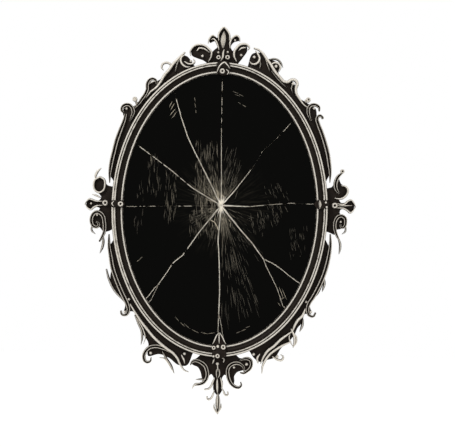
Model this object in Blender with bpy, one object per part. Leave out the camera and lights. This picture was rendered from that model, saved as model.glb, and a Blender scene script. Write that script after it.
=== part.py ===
"""An oval rococo wall mirror whose pane is shattered by one blow near its middle.

Metres, +Z up. The origin is the oval's centre on the wall plane. The mirror faces -Y, so a
height above the wall of 0.020 lies at Y = -0.020.
"""

import math

import bmesh
import bpy
import numpy as np
from mathutils import Vector

# The oval opening and the moulding round it
OPENING_HALF_WIDTH = 0.192
OPENING_HALF_HEIGHT = 0.270
MOULDING_WIDTH = 0.023
MOULDING_DEPTH = 0.024
OVAL_STEPS = 60
BEAD_RADIUS = 0.0021
BEAD_PITCH = 0.0046
COVE_RADIUS = 0.0073
FILLET_WIDTH = 0.0014
LIP_THICKNESS = 0.0022

# The stack behind the lip: glass, board, and the ledge that the clips are screwed to
GLASS_THICKNESS = 0.003
BOARD_THICKNESS = 0.003
REBATE_WIDTH = 0.007
EDGE_CLEARANCE = 0.001
LEDGE_WIDTH = 0.006
SEAT_GAP = 0.0003
LEDGE_DEPTH = 0.0044

# Steel clips round the ledge, and the screws that hold them and the hanger
CLIP_ANGLES = (0, 55, 125, 180, 235, 305)
CLIP_LENGTH = 0.020
CLIP_WIDTH = 0.009
CLIP_THICKNESS = 0.0012
SCREW_RADIUS = 0.0012
SCREW_HEAD_RADIUS = 0.0024
SCREW_HEAD_HEIGHT = 0.0010
SCREW_LENGTH = 0.0075
SCREW_CROWN = 0.72
SCREW_POINT = 0.15
HOLE_CLEARANCE = 0.0003
CUT_EXTRA = 0.001
ROUND_SIDES = 8

# The keyhole plate let into the back of the moulding at 12 o'clock
HANGER_WIDTH = 0.018
HANGER_HEIGHT = 0.030
HANGER_THICKNESS = 0.0015
HANGER_SINK = 0.0002
HANGER_OVERHANG = 0.0165
KEYHOLE_RADIUS = 0.0045
KEYHOLE_SLOT_RADIUS = 0.0022
KEYHOLE_RISE = 0.0075
KEYHOLE_DROP = 0.018
HANGER_SCREW_SPREAD = 0.0115

# The break: how far the pane is crushed round the blow, and the open cracks
CRUSH_RADIUS = 0.0085
CRACK_GAP = 0.0006
CHIP_WIDTH = 0.0007
CHIP_DEPTH = 0.0009
TIP_BULGE = 1.12
CRUSH_LAYERS = ((1.0, 0.0), (1.0, 0.45), (0.5, 0.8))
CRUSH_POINTS = 11
CRUSH_RAGGED = 0.1
CRUSH_RIPPLE = 2.4

# The castings round the outside: a dark ground plate with carved strands rising from it
GROUND_BACK = 0.006
GROUND_THICKNESS = 0.0034
CARVING_RISE = 0.0110
CARVING_UNIT = 0.001
STRAND_STEP_BACK = 0.0001
CURVE_TURN = 34
CURVE_STEP = 0.028
TIGHTEST_BEND = 0.65
SWELL_LENGTH = 0.35
TIP_RISE = 0.55
BEAD_SHOULDER = 0.7
BEAD_TAPER = 0.85
GROUND_STEP = 0.012
CARVED_EDGE_DEGREES = 50
GLASS_EDGE_DEGREES = 20

# The four cast clasps that lie across the moulding at 12, 3, 6 and 9 o'clock
CLASP_GAP = 0.0005
CLASP_STEP = 0.009
CLASP_RISE = 0.0062
CARVING_INSET = 0.0009
TOP_JOINT = 0.045
SIDE_JOINT = 0.040


def clear_scene():
    for obj in list(bpy.data.objects):
        bpy.data.objects.remove(obj, do_unlink=True)


def finish(name, colour, metallic, roughness):
    """A Principled material of one plain colour."""
    material = bpy.data.materials.new(name)
    material.use_nodes = True
    shader = material.node_tree.nodes["Principled BSDF"]
    shader.inputs["Base Color"].default_value = (*colour, 1.0)
    shader.inputs["Metallic"].default_value = metallic
    shader.inputs["Roughness"].default_value = roughness
    material.diffuse_color = (*colour, 1.0)
    return material


def node(name, mesh, material):
    """An object that is one sub-part of the mirror."""
    mesh.name = name
    mesh.materials.append(material)
    obj = bpy.data.objects.new(name, mesh)
    bpy.context.scene.collection.objects.link(obj)
    return obj


def helper(obj):
    """Keeps a cutter or a carved strand out of the finished model."""
    obj.hide_render = True
    obj.display_type = "WIRE"
    return obj


def mesh_of(bm, sharp_degrees=40):
    """Turns a bmesh into a smooth-shaded mesh whose faces point out."""
    bmesh.ops.recalc_face_normals(bm, faces=bm.faces)
    mesh = bpy.data.meshes.new("mesh")
    bm.to_mesh(mesh)
    bm.free()
    mesh.shade_smooth()
    mesh.set_sharp_from_angle(angle=math.radians(sharp_degrees))
    return mesh


def at(point, height):
    """A point of the mirror's own plane, lifted off the wall."""
    return Vector((point.x, -height, point.y))


# The oval: angles run from +X towards +Z, and distances outward from the opening's edge


def oval_point(angle, outward):
    edge = Vector((OPENING_HALF_WIDTH * math.cos(angle), OPENING_HALF_HEIGHT * math.sin(angle)))
    return edge + oval_normal(angle) * outward


def oval_normal(angle):
    normal = Vector((OPENING_HALF_HEIGHT * math.cos(angle), OPENING_HALF_WIDTH * math.sin(angle)))
    return normal.normalized()


QUARTER_ANGLES = np.linspace(0.0, math.pi / 2, 721)
QUARTER_POINTS = np.array([oval_point(angle, MOULDING_WIDTH) for angle in QUARTER_ANGLES])
QUARTER_STEPS = np.hypot(*np.diff(QUARTER_POINTS, axis=0).T)
QUARTER_DISTANCES = np.concatenate([[0.0], np.cumsum(QUARTER_STEPS)])
QUARTER_LENGTH = QUARTER_DISTANCES[-1]


def wall_point(side, top, distance, outward):
    """A point `distance` along the moulding's outer wall from the 3 or 9 o'clock axis.

    side is +1 right and -1 left, top +1 above the axis and -1 below it.
    """
    if distance < 0:
        return wall_point(side, -top, -distance, outward)
    if distance > QUARTER_LENGTH:
        return wall_point(-side, top, 2 * QUARTER_LENGTH - distance, outward)
    angle = float(np.interp(distance, QUARTER_DISTANCES, QUARTER_ANGLES))
    point = oval_point(angle, MOULDING_WIDTH + outward)
    return Vector((side * point.x, top * point.y))


def quadrant(side, top):
    """Places (thousandths of the way from the crest or pendant joint down to the side joint,
    carving units out from the moulding's wall)."""
    run = QUARTER_LENGTH - TOP_JOINT - SIDE_JOINT

    def place(along, out):
        distance = QUARTER_LENGTH - TOP_JOINT - run * along / 1000
        return wall_point(side, top, distance, out * CARVING_UNIT)

    return place


def vertical_axis(top):
    """Places (carving units along the wall to the right of 12 or 6 o'clock, units out)."""

    def place(along, out):
        return wall_point(1, top, QUARTER_LENGTH - along * CARVING_UNIT, out * CARVING_UNIT)

    return place


def horizontal_axis(side):
    """Places (carving units along the wall above 3 or 9 o'clock, units out)."""

    def place(along, out):
        return wall_point(side, 1, along * CARVING_UNIT, out * CARVING_UNIT)

    return place


def smooth_line(knots, turn=CURVE_TURN, longest=CURVE_STEP):
    """A smooth curve through the knots, with a point every `turn` degrees or every `longest`."""
    points = np.array(knots)
    spans = np.hypot(*np.diff(points, axis=0).T)
    slopes = np.diff(points, axis=0) / spans[:, None]
    tangents = np.empty_like(points)
    tangents[0] = slopes[0]
    tangents[-1] = slopes[-1]
    for i in range(1, len(points) - 1):
        weighted = slopes[i - 1] * spans[i] + slopes[i] * spans[i - 1]
        tangents[i] = weighted / (spans[i - 1] + spans[i])
    fine = []
    for i, span in enumerate(spans):
        for t in np.linspace(0.0, 1.0, 16, endpoint=False):
            fine.append(
                points[i] * (2 * t**3 - 3 * t**2 + 1)
                + tangents[i] * span * (t**3 - 2 * t**2 + t)
                + points[i + 1] * (3 * t**2 - 2 * t**3)
                + tangents[i + 1] * span * (t**3 - t**2)
            )
    fine.append(points[-1])
    steps = np.diff(np.array(fine), axis=0)
    lengths = np.hypot(*steps.T)
    headings = np.unwrap(np.arctan2(steps[:, 1], steps[:, 0]))
    turns = np.concatenate([[0.0], np.degrees(np.abs(np.diff(headings)))])
    progress = np.cumsum(turns / turn + lengths / longest)
    count = max(3, round(progress[-1]))
    marks = np.interp(np.linspace(0.0, progress[-1], count + 1), [0.0, *progress], range(len(fine)))
    line = [np.array(fine).T @ hat_weights(mark, len(fine)) for mark in marks]
    return [Vector(point) for point in line]


def hat_weights(mark, count):
    """Weights that read a list at a place between two of its entries."""
    weights = np.zeros(count)
    lower = min(int(mark), count - 2)
    weights[lower] = lower + 1 - mark
    weights[lower + 1] = mark - lower
    return weights


# The moulding: one profile carried round the oval


def arc(centre, radius, start, end, count):
    """Points of a circle in the profile, as (outward from the opening, height above the wall)."""
    return [
        (centre[0] + radius * math.cos(angle), centre[1] + radius * math.sin(angle))
        for angle in np.radians(np.linspace(start, end, count))
    ]


def moulding_profile():
    """Double outer bead, cove, fillet and single sight bead, with the rebate behind."""
    bead_height = MOULDING_DEPTH - BEAD_RADIUS
    first_bead = (MOULDING_WIDTH - BEAD_RADIUS, bead_height)
    second_bead = (first_bead[0] - BEAD_PITCH, bead_height)
    cove_foot = second_bead[0] - BEAD_RADIUS - COVE_RADIUS
    cove = (cove_foot, bead_height)
    cove_floor = bead_height - COVE_RADIUS
    sight_bead = (cove_foot - FILLET_WIDTH - BEAD_RADIUS, cove_floor)
    lip_back = LEDGE_DEPTH + BOARD_THICKNESS + GLASS_THICKNESS + 2 * SEAT_GAP
    lip_front = lip_back + LIP_THICKNESS
    ledge = REBATE_WIDTH + LEDGE_WIDTH
    return [
        (MOULDING_WIDTH, 0.0),
        *arc(first_bead, BEAD_RADIUS, 0, 180, 4),
        *arc(second_bead, BEAD_RADIUS, 0, 180, 4),
        *arc(cove, COVE_RADIUS, -12, -90, 4),
        *arc(sight_bead, BEAD_RADIUS, 0, 180, 4),
        (0.0, lip_front),
        (0.0, lip_back),
        (REBATE_WIDTH, lip_back),
        (REBATE_WIDTH, LEDGE_DEPTH),
        (ledge, LEDGE_DEPTH),
        (ledge, 0.0),
    ]


def ring_mesh(profile):
    bm = bmesh.new()
    rings = []
    for angle in np.linspace(0.0, math.tau, OVAL_STEPS, endpoint=False):
        rings.append([bm.verts.new(at(oval_point(angle, u), h)) for u, h in profile])
    for i, ring in enumerate(rings):
        following = rings[(i + 1) % OVAL_STEPS]
        for j in range(len(profile)):
            k = (j + 1) % len(profile)
            bm.faces.new((ring[j], ring[k], following[k], following[j]))
    return mesh_of(bm)


def skin(bm, rings):
    """Faces between neighbouring rings of equal count, and a cap at each end."""
    count = len(rings[0])
    for ring, following in zip(rings, rings[1:]):
        for i in range(count):
            j = (i + 1) % count
            bm.faces.new((ring[i], ring[j], following[j], following[i]))
    bm.faces.new(rings[0])
    bm.faces.new(rings[-1])


def slab(outline, back, front):
    """A flat plate of the given outline, between two heights above the wall."""
    bm = bmesh.new()
    face = bm.faces.new([bm.verts.new(at(point, back)) for point in outline])
    lifted = bmesh.ops.extrude_face_region(bm, geom=[face])
    verts = [item for item in lifted["geom"] if isinstance(item, bmesh.types.BMVert)]
    bmesh.ops.translate(bm, verts=verts, vec=(0.0, back - front, 0.0))
    return mesh_of(bm)


def circle(centre, radius, sides=ROUND_SIDES):
    angles = np.linspace(0.0, math.tau, sides, endpoint=False)
    return [centre + Vector((math.cos(angle), math.sin(angle))) * radius for angle in angles]


def cylinder(centre, radius, back, front):
    return slab(circle(centre, radius), back, front)


def cut(obj, cutter):
    modifier = obj.modifiers.new("Cut " + cutter.name, "BOOLEAN")
    modifier.operation = "DIFFERENCE"
    modifier.solver = "EXACT"
    modifier.object = helper(cutter)


# Clips and screws


def rail_rectangle(angle, inner, outer, width):
    """A rectangle lying across the moulding at this angle, from inner to outer along its normal."""
    normal = oval_normal(angle)
    tangent = Vector((-normal.y, normal.x))
    foot = oval_point(angle, 0.0)
    corners = ((inner, -0.5), (outer, -0.5), (outer, 0.5), (inner, 0.5))
    return [foot + normal * u + tangent * width * v for u, v in corners]


def add_clips(moulding, steel, screw_steel):
    screw_place = REBATE_WIDTH + LEDGE_WIDTH / 2
    clip_front = LEDGE_DEPTH - SEAT_GAP
    clip_back = clip_front - CLIP_THICKNESS
    clip_outer = REBATE_WIDTH + LEDGE_WIDTH - EDGE_CLEARANCE / 2
    hole_radius = SCREW_RADIUS + HOLE_CLEARANCE
    for number, degrees in enumerate(CLIP_ANGLES, 1):
        angle = math.radians(degrees)
        outline = rail_rectangle(angle, clip_outer - CLIP_LENGTH, clip_outer, CLIP_WIDTH)
        clip = node(f"retaining_clip_{number}", slab(outline, clip_back, clip_front), steel)
        centre = oval_point(angle, screw_place)
        hole_front = clip_back + SCREW_LENGTH + EDGE_CLEARANCE / 2
        hole_shape = cylinder(centre, hole_radius, 0.0, hole_front)
        hole = node(f"clip_hole_{number}", hole_shape, screw_steel)
        cut(clip, hole)
        cut(moulding, hole)
        add_screw(f"clip_screw_{number}", centre, clip_back - SEAT_GAP, screw_steel)


def add_screw(name, centre, seat, material):
    """A round-headed screw whose head sits on `seat` and whose shank runs forward from it."""
    profile = [
        (0.0, seat - SCREW_HEAD_HEIGHT),
        (SCREW_HEAD_RADIUS * SCREW_CROWN, seat - SCREW_HEAD_HEIGHT * SCREW_CROWN),
        (SCREW_HEAD_RADIUS, seat),
        (SCREW_RADIUS, seat),
        (SCREW_RADIUS, seat + SCREW_LENGTH * (1 - SCREW_POINT)),
        (0.0, seat + SCREW_LENGTH),
    ]
    bm = bmesh.new()
    rings = []
    for radius, height in profile:
        points = circle(centre, radius) if radius else [centre]
        rings.append([bm.verts.new(at(point, height)) for point in points])
    for ring, following in zip(rings, rings[1:]):
        for i in range(ROUND_SIDES):
            j = (i + 1) % ROUND_SIDES
            corners = (
                ring[i % len(ring)],
                ring[j % len(ring)],
                following[j % len(following)],
                following[i % len(following)],
            )
            bm.faces.new(list(dict.fromkeys(corners)))
    return node(name, mesh_of(bm), material)


def keyhole_outline(centre):
    """A round hole with a slot rising from it to a rounded top."""
    shoulder = math.acos(KEYHOLE_SLOT_RADIUS / KEYHOLE_RADIUS)
    hole_angles = np.linspace(math.pi - shoulder, math.tau + shoulder, 12)
    slot_angles = np.linspace(0.0, math.pi, 6)
    hole = [Vector((math.cos(a), math.sin(a))) * KEYHOLE_RADIUS for a in hole_angles]
    top = [
        Vector((math.cos(a), math.sin(a))) * KEYHOLE_SLOT_RADIUS + Vector((0.0, KEYHOLE_RISE))
        for a in slot_angles
    ]
    return [centre + point for point in (*hole, *top)]


def upright_rectangle(width, foot, top):
    half = width / 2
    return [Vector(corner) for corner in ((-half, foot), (half, foot), (half, top), (-half, top))]


def add_hanger(moulding, steel, screw_steel):
    """A keyhole plate screwed into a shallow pocket, its keyhole hanging over the recess."""
    ledge_foot = OPENING_HALF_HEIGHT + REBATE_WIDTH
    foot = ledge_foot - HANGER_OVERHANG
    top = foot + HANGER_HEIGHT
    back = HANGER_SINK
    front = back + HANGER_THICKNESS
    plate_outline = upright_rectangle(HANGER_WIDTH, foot, top)
    plate = node("hanger_plate", slab(plate_outline, back, front), steel)
    keyhole = keyhole_outline(Vector((0.0, top - KEYHOLE_DROP - KEYHOLE_RISE)))
    cut(plate, node("keyhole", slab(keyhole, back - CUT_EXTRA, front + CUT_EXTRA), steel))
    pocket_outline = upright_rectangle(
        HANGER_WIDTH + EDGE_CLEARANCE, ledge_foot, top + EDGE_CLEARANCE / 2
    )
    pocket = slab(pocket_outline, -CUT_EXTRA, front + SEAT_GAP)
    cut(moulding, node("hanger_pocket", pocket, steel))
    screw_height = ledge_foot + LEDGE_WIDTH + SCREW_HEAD_RADIUS + EDGE_CLEARANCE
    hole_front = back + SCREW_LENGTH + EDGE_CLEARANCE / 2
    for number, side in enumerate((-1, 1), 1):
        centre = Vector((side * HANGER_SCREW_SPREAD / 2, screw_height))
        hole_shape = cylinder(centre, SCREW_RADIUS + HOLE_CLEARANCE, -CUT_EXTRA, hole_front)
        hole = node(f"hanger_hole_{number}", hole_shape, screw_steel)
        cut(plate, hole)
        cut(moulding, hole)
        add_screw(f"hanger_screw_{number}", centre, back - SEAT_GAP, screw_steel)


# Clasps: cast saddles lying over the beads and the cove, each carrying its own small carving.
# Across runs anticlockwise round the oval and outward from the inner foot of the outer beads.
# A station is (outward, half width, thickness), and everything is in carving units.

SADDLE_SECTION = ((-1.0, 0.0), (-0.86, 0.8), (0.0, 1.0), (0.86, 0.8), (1.0, 0.0))
ROUND = ((-1.0, 0.0), (-0.62, 0.8), (0.0, 1.0), (0.62, 0.8), (1.0, 0.0))
REED = ((-1.0, 0.0), (-0.45, 1.0), (0.45, 1.0), (1.0, 0.0))
SOFT = (0.35, 0.35)

TOP_SADDLE = (
    (10, 6, 2.2), (7, 12, 2.8), (0, 14, 3.2), (-7, 14.5, 3.2), (-13, 13.5, 3.2), (-17, 9, 2.8),
    (-19, 3, 2.0),
)
TOP_STRANDS = (
    (
        REED, 1.8, 0.9, SOFT,
        ((12.5, -13), (8.5, -3), (2, 4.5), (-2.5, 6.5), (-6.5, 3), (-13, -5)),
    ),
    (REED, 1.6, 0.8, SOFT, ((-6, -7), (-11, -12), (-8, -16.5))),
)
TOP_BEADS = ((1.5, -10.5, 4.4),)

LEFT_SADDLE = (
    (9.5, 4, 2.0), (7, 7, 2.6), (0, 7, 3.0), (-7, 7.5, 3.0), (-13, 7.5, 3.0), (-17, 5, 2.6),
    (-19, 2, 1.8),
)
LEFT_STRANDS = ((REED, 1.5, 0.8, SOFT, ((-5.5, 2.5), (0, 6), (5, 2.5))),)
LEFT_BEADS = ((0, -10.5, 4.6),)

RIGHT_SADDLE = (
    (9.5, 5, 2.0), (7, 8.5, 2.6), (0, 8.5, 3.0), (-7, 9, 3.0), (-13, 9, 3.0), (-17, 5, 2.6),
    (-19, 2, 1.8),
)
RIGHT_STRANDS = ((ROUND, 3.2, 0.9, (0.2, 0.2), ((-8.5, -8.5), (0, -7.5), (8.5, -8.5))),)
RIGHT_BEADS = ((3.5, 3.5, 2.2), (-5.5, 5, 2.2))

BOTTOM_SADDLE = (
    (10, 8, 2.2), (7, 14, 2.8), (0, 14.5, 3.2), (-7, 13.5, 3.2), (-13, 14.5, 3.2), (-19, 14.5, 3.2),
    (-27, 9.5, 3.0), (-35, 4.6, 2.8), (-42, 1.0, 2.0),
)
BOTTOM_STRANDS = (
    (REED, 1.7, 0.8, SOFT, ((-13, -18), (-9.5, -25), (-6, -33), (-1.5, -40))),
    (REED, 1.7, 0.8, SOFT, ((13, -18), (9.5, -25), (6, -33), (1.5, -40))),
    (REED, 1.8, 0.9, SOFT, ((0, -19), (0, -29), (0, -41))),
)
BOTTOM_BEADS = ((-3.5, 5, 3.8), (-11.5, 5.5, 2.3), (-11, -11, 3.4), (-3, -13.5, 3.0), (8, -12, 4.2))

CLASPS = {
    "clasp_top": (89.3, TOP_SADDLE, TOP_STRANDS, TOP_BEADS),
    "clasp_left": (178.4, LEFT_SADDLE, LEFT_STRANDS, LEFT_BEADS),
    "clasp_right": (2.8, RIGHT_SADDLE, RIGHT_STRANDS, RIGHT_BEADS),
    "clasp_bottom": (271.2, BOTTOM_SADDLE, BOTTOM_STRANDS, BOTTOM_BEADS),
}


def clasp_underside(outward):
    """Flat over the outer beads, then falling to rest on the sight bead."""
    fall = BEAD_RADIUS * 1.5 + COVE_RADIUS + FILLET_WIDTH + BEAD_RADIUS / 2
    high = MOULDING_DEPTH + CLASP_GAP
    if outward >= 0.0:
        return high
    return high - COVE_RADIUS * min(-outward / fall, 1.0)


def add_clasps(gilt):
    outer_beads = MOULDING_WIDTH - BEAD_RADIUS - BEAD_PITCH - BEAD_RADIUS / 2
    for name, (degrees, stations, strands, beads) in CLASPS.items():
        angle = math.radians(degrees)
        normal = oval_normal(angle)
        tangent = Vector((-normal.y, normal.x))
        foot = oval_point(angle, outer_beads)

        def place(across, outward):
            return foot + (tangent * across + normal * outward) * CARVING_UNIT

        def underside(point):
            return clasp_underside((point - foot).dot(normal))

        def inside(point):
            return underside(point) + CARVING_INSET

        bm = bmesh.new()
        rings = []
        for outward, half_width, thickness in stations:
            ring = []
            for side, up in SADDLE_SECTION:
                point = place(side * half_width, outward)
                height = underside(point) + up * thickness * CARVING_UNIT
                ring.append(bm.verts.new(at(point, height)))
            rings.append(ring)
        skin(bm, rings)
        saddle = node(name, mesh_of(bm, CARVED_EDGE_DEGREES), gilt)
        lines = [smooth_line([place(*knot) for knot in s[-1]], longest=CLASP_STEP) for s in strands]
        fuse_carving(saddle, place, inside, CLASP_RISE, lines, strands, beads, gilt)


# The pane: cracks run from the impact to the rim, some forking on the way. Each is a short
# list of the corners where it changes course, in thousandths of the opening's half width and
# half height from the oval's centre.

CRACKS = {
    "top": ((10, 367), (5, 589), (5, 774), (5, 989)),
    "upper_right": ((156, 144), (250, 233), (328, 307), (432, 433), (583, 533), (740, 659)),
    "right": ((318, 26), (505, 41), (734, 56), (938, 52)),
    "fork_stem": ((89, -33), (214, -141), (344, -244), (464, -359)),
    "fork_upper": ((557, -389), (641, -426), (724, -474), (818, -522)),
    "fork_lower": ((495, -415), (547, -485), (615, -581), (672, -700)),
    "bottom": ((-10, -226), (5, -389), (16, -596), (10, -770)),
    "bottom_left": ((5, -893), (10, -963)),
    "bottom_right": ((36, -844), (52, -907), (68, -970)),
    "lower_left": (
        (-198, -159), (-323, -289), (-375, -341), (-474, -400), (-557, -493), (-620, -559),
    ),
    "lower_left_upper": ((-667, -593), (-729, -652)),
    "lower_left_lower": ((-656, -615), (-693, -674)),
    "left": ((-151, 26), (-307, 22), (-568, 19), (-938, 11)),
    "upper_left": ((-125, 89), (-292, 159), (-490, 274), (-661, 363), (-849, 459)),
    "steep_left": ((-161, 278), (-266, 419), (-344, 533), (-417, 681), (-490, 859)),
}

# Each shard lies between two chains of cracks, taken clockwise side first
SHARDS = {
    "shard_top_right": (("upper_right",), ("top",)),
    "shard_top_left": (("top",), ("steep_left",)),
    "shard_upper_left": (("steep_left",), ("upper_left",)),
    "shard_left_upper": (("upper_left",), ("left",)),
    "shard_left_lower": (("left",), ("lower_left", "lower_left_upper")),
    "shard_bottom_left": (("lower_left", "lower_left_lower"), ("bottom", "bottom_left")),
    "shard_bottom_right": (("bottom", "bottom_right"), ("fork_stem", "fork_lower")),
    "shard_right_lower": (("fork_stem", "fork_upper"), ("right",)),
    "shard_right_upper": (("right",), ("upper_right",)),
    "shard_fork": (("fork_lower",), ("fork_upper",)),
    "sliver_bottom": (("bottom_left",), ("bottom_right",)),
    "sliver_lower_left": (("lower_left_upper",), ("lower_left_lower",)),
}

IMPACT = (16, 30)
FORK_STARTS = {
    "shard_fork": "fork_stem",
    "sliver_bottom": "bottom",
    "sliver_lower_left": "lower_left",
}


def pane_point(across, up):
    return Vector((OPENING_HALF_WIDTH * across, OPENING_HALF_HEIGHT * up)) / 1000


def crack_corners(names):
    return [pane_point(*corner) for name in names for corner in CRACKS[name]]


def rim_angle(point):
    """The oval's angle at a point near the pane's edge."""
    return math.atan2(point.y / OPENING_HALF_HEIGHT, point.x / OPENING_HALF_WIDTH)


def beside(line, offset):
    """The line moved sideways, to its left where the offset is positive."""
    moved = []
    for i, point in enumerate(line):
        before = (point - line[max(i - 1, 0)]).normalized()
        after = (line[min(i + 1, len(line) - 1)] - point).normalized()
        along = (before + after).normalized()
        stretch = 1 / max(along.dot(after if i == 0 else before), 0.5)
        moved.append(point + Vector((-along.y, along.x)) * offset * stretch)
    return moved


def shard_outline(start, chains, gap, crush):
    """The outline of one shard, turning anticlockwise: out along its first crack, round the
    rim and back along its second."""
    rim_out = REBATE_WIDTH - EDGE_CLEARANCE
    lines = []
    ends = []
    for chain in chains:
        corners = crack_corners(chain)
        end = rim_angle(corners[-1])
        ends.append(end)
        lines.append([start, *corners, oval_point(end, rim_out)])
    first = beside(lines[0], gap)
    second = beside(lines[1], -gap)
    if ends[1] < ends[0]:
        ends[1] += math.tau
    step = math.tau / OVAL_STEPS
    margin = step / 4
    first_step = math.ceil((ends[0] + margin) / step)
    last_step = math.floor((ends[1] - margin) / step)
    rim = [oval_point(k * step, rim_out) for k in range(first_step, last_step + 1)]
    if crush:
        middle = ((first[1] - start).normalized() + (second[1] - start).normalized()).normalized()
        tip = [
            start + (second[1] - start).normalized() * crush,
            start + middle * crush * TIP_BULGE,
            start + (first[1] - start).normalized() * crush,
        ]
    else:
        ways = [(line[1] - start).normalized() for line in lines]
        opening = ways[0].angle(ways[1]) / 2
        tip = [start + (ways[0] + ways[1]).normalized() * gap / math.sin(opening)]
    return [*tip, *first[1:], *rim, *reversed(second[1:])]


def shard_mesh(start, chains, crushed):
    """A piece of glass whose front edges are chipped back along the cracks."""
    front = LEDGE_DEPTH + BOARD_THICKNESS + GLASS_THICKNESS + SEAT_GAP
    back = front - GLASS_THICKNESS
    gap = CRACK_GAP / 2
    wall = shard_outline(start, chains, gap, CRUSH_RADIUS if crushed else 0)
    chipped = shard_outline(
        start, chains, gap + CHIP_WIDTH, CRUSH_RADIUS + CHIP_WIDTH if crushed else 0
    )
    layers = ((wall, back), (wall, front - CHIP_DEPTH), (chipped, front))
    bm = bmesh.new()
    skin(bm, [[bm.verts.new(at(point, height)) for point in outline] for outline, height in layers])
    return mesh_of(bm, GLASS_EDGE_DEGREES)


def crushed_core_mesh():
    """The powdered star of glass at the point of impact, still held between the tips."""
    back = LEDGE_DEPTH + BOARD_THICKNESS + SEAT_GAP
    radius = CRUSH_RADIUS - CRACK_GAP
    centre = pane_point(*IMPACT)
    bm = bmesh.new()
    rings = []
    for share, depth_share in CRUSH_LAYERS:
        height = back + GLASS_THICKNESS * depth_share
        ring = []
        for i in range(CRUSH_POINTS):
            angle = math.tau * i / CRUSH_POINTS
            raggedness = CRUSH_RAGGED * (1 - math.cos(i * CRUSH_RIPPLE))
            reach = radius * share * (1 - raggedness)
            point = centre + Vector((math.cos(angle), math.sin(angle))) * reach
            ring.append(bm.verts.new(at(point, height)))
        rings.append(ring)
    skin(bm, rings)
    return mesh_of(bm, GLASS_EDGE_DEGREES)


# Carving. A strand's section is a list of (share of the half width, share of the rise).

BAND = ((-1.0, 0.0), (-0.62, 1.0), (0.0, 0.5), (0.62, 1.0), (1.0, 0.0))
LEAF = ((-1.0, 0.0), (0.0, 1.0), (1.0, 0.0))


def swell(share, start, end):
    """Width along a strand: full in the middle, easing down to the shares given at its ends."""
    full = 1.0
    if share < SWELL_LENGTH:
        full -= (1 - start) * (1 - share / SWELL_LENGTH) ** 2
    if share > 1 - SWELL_LENGTH:
        full -= (1 - end) * (1 - (1 - share) / SWELL_LENGTH) ** 2
    return full


def bend_radius(before, point, after):
    """The radius of the circle through three points, or a large number on a straight."""
    first = point - before
    second = after - point
    area = abs(first.x * second.y - first.y * second.x)
    return first.length * second.length * (after - before).length / max(2 * area, 1e-9)


def strand_mesh(line, section, half_width, rise, seat, back, tips):
    """A carved strand along the line, its back following the seat and its section raised off it."""
    lengths = np.cumsum([0.0, *((b - a).length for a, b in zip(line, line[1:]))])
    bm = bmesh.new()
    rings = []
    last = len(line) - 1
    for i, point in enumerate(line):
        before = line[max(i - 1, 0)]
        after = line[min(i + 1, last)]
        along = (after - before).normalized()
        across = Vector((-along.y, along.x))
        width = half_width * swell(lengths[i] / lengths[-1], *tips)
        if 0 < i < last:
            width = min(width, TIGHTEST_BEND * bend_radius(before, point, after))
        lift = rise * (TIP_RISE + (1 - TIP_RISE) * width / half_width)
        ring = []
        for side, up in section:
            spot = point + across * side * width
            ring.append(bm.verts.new(at(spot, seat(spot) + back + up * lift)))
        rings.append(ring)
    skin(bm, rings)
    return mesh_of(bm, CARVED_EDGE_DEGREES)


def bead_mesh(centre, radius, seat, back, rise):
    """A domed bead."""
    bm = bmesh.new()
    foot = [bm.verts.new(at(point, seat(point) + back)) for point in circle(centre, radius)]
    middle = bm.verts.new(at(centre, seat(centre) + back))
    shoulder = [
        bm.verts.new(at(point, seat(point) + back + rise * BEAD_SHOULDER))
        for point in circle(centre, radius * BEAD_TAPER)
    ]
    crown = bm.verts.new(at(centre, seat(centre) + back + rise))
    for i in range(ROUND_SIDES):
        j = (i + 1) % ROUND_SIDES
        bm.faces.new((foot[i], foot[j], shoulder[j], shoulder[i]))
        bm.faces.new((shoulder[i], shoulder[j], crown))
        bm.faces.new((foot[j], foot[i], middle))
    return mesh_of(bm, CARVED_EDGE_DEGREES)


def ground_outline(place, edge):
    """The ground plate: out along its free edge, and back along the moulding's wall."""
    free = smooth_line([place(along, out) for along, out in edge])
    wall_gap = SEAT_GAP / CARVING_UNIT
    first = edge[0][0]
    last = edge[-1][0]
    span = place(last, wall_gap) - place(first, wall_gap)
    steps = round(max(abs(span.x), abs(span.y)) / GROUND_STEP)
    wall = [place(last + (first - last) * k / steps, wall_gap) for k in range(steps + 1)]
    return [*free, *wall]


def casting(name, place, edge, strands, beads, material):
    """One casting: its ground plate with every strand and bead fused to it."""
    outline = ground_outline(place, edge)
    front = GROUND_BACK + GROUND_THICKNESS
    body = node(name, slab(outline, GROUND_BACK, front), material)
    lines = [smooth_line([place(*knot) for knot in strand[-1]]) for strand in strands]

    def ground_back(point):
        return GROUND_BACK

    fuse_carving(body, place, ground_back, CARVING_RISE, lines, strands, beads, material)


def fuse_carving(body, place, seat, full_rise, lines, strands, beads, material):
    """Joins carved strands and beads to the plate or saddle that they rise from."""
    carving = bpy.data.collections.new(body.name + " carving")
    carving.hide_render = True
    bpy.context.scene.collection.children.link(carving)
    for index, (line, strand) in enumerate(zip(lines, strands)):
        section, half_width, rise, tips, _ = strand
        back = STRAND_STEP_BACK * (3 + index)
        mesh = strand_mesh(
            line, section, half_width * CARVING_UNIT, full_rise * rise, seat, back, tips
        )
        add_carving(f"{body.name} strand {index + 1}", mesh, carving, material)
    for index, (along, out, radius) in enumerate(beads):
        back = STRAND_STEP_BACK * (3.5 + index)
        mesh = bead_mesh(place(along, out), radius * CARVING_UNIT, seat, back, full_rise)
        add_carving(f"{body.name} bead {index + 1}", mesh, carving, material)
    modifier = body.modifiers.new("Carving", "BOOLEAN")
    modifier.operation = "UNION"
    modifier.solver = "EXACT"
    modifier.operand_type = "COLLECTION"
    modifier.collection = carving
    modifier.use_self = True


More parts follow.
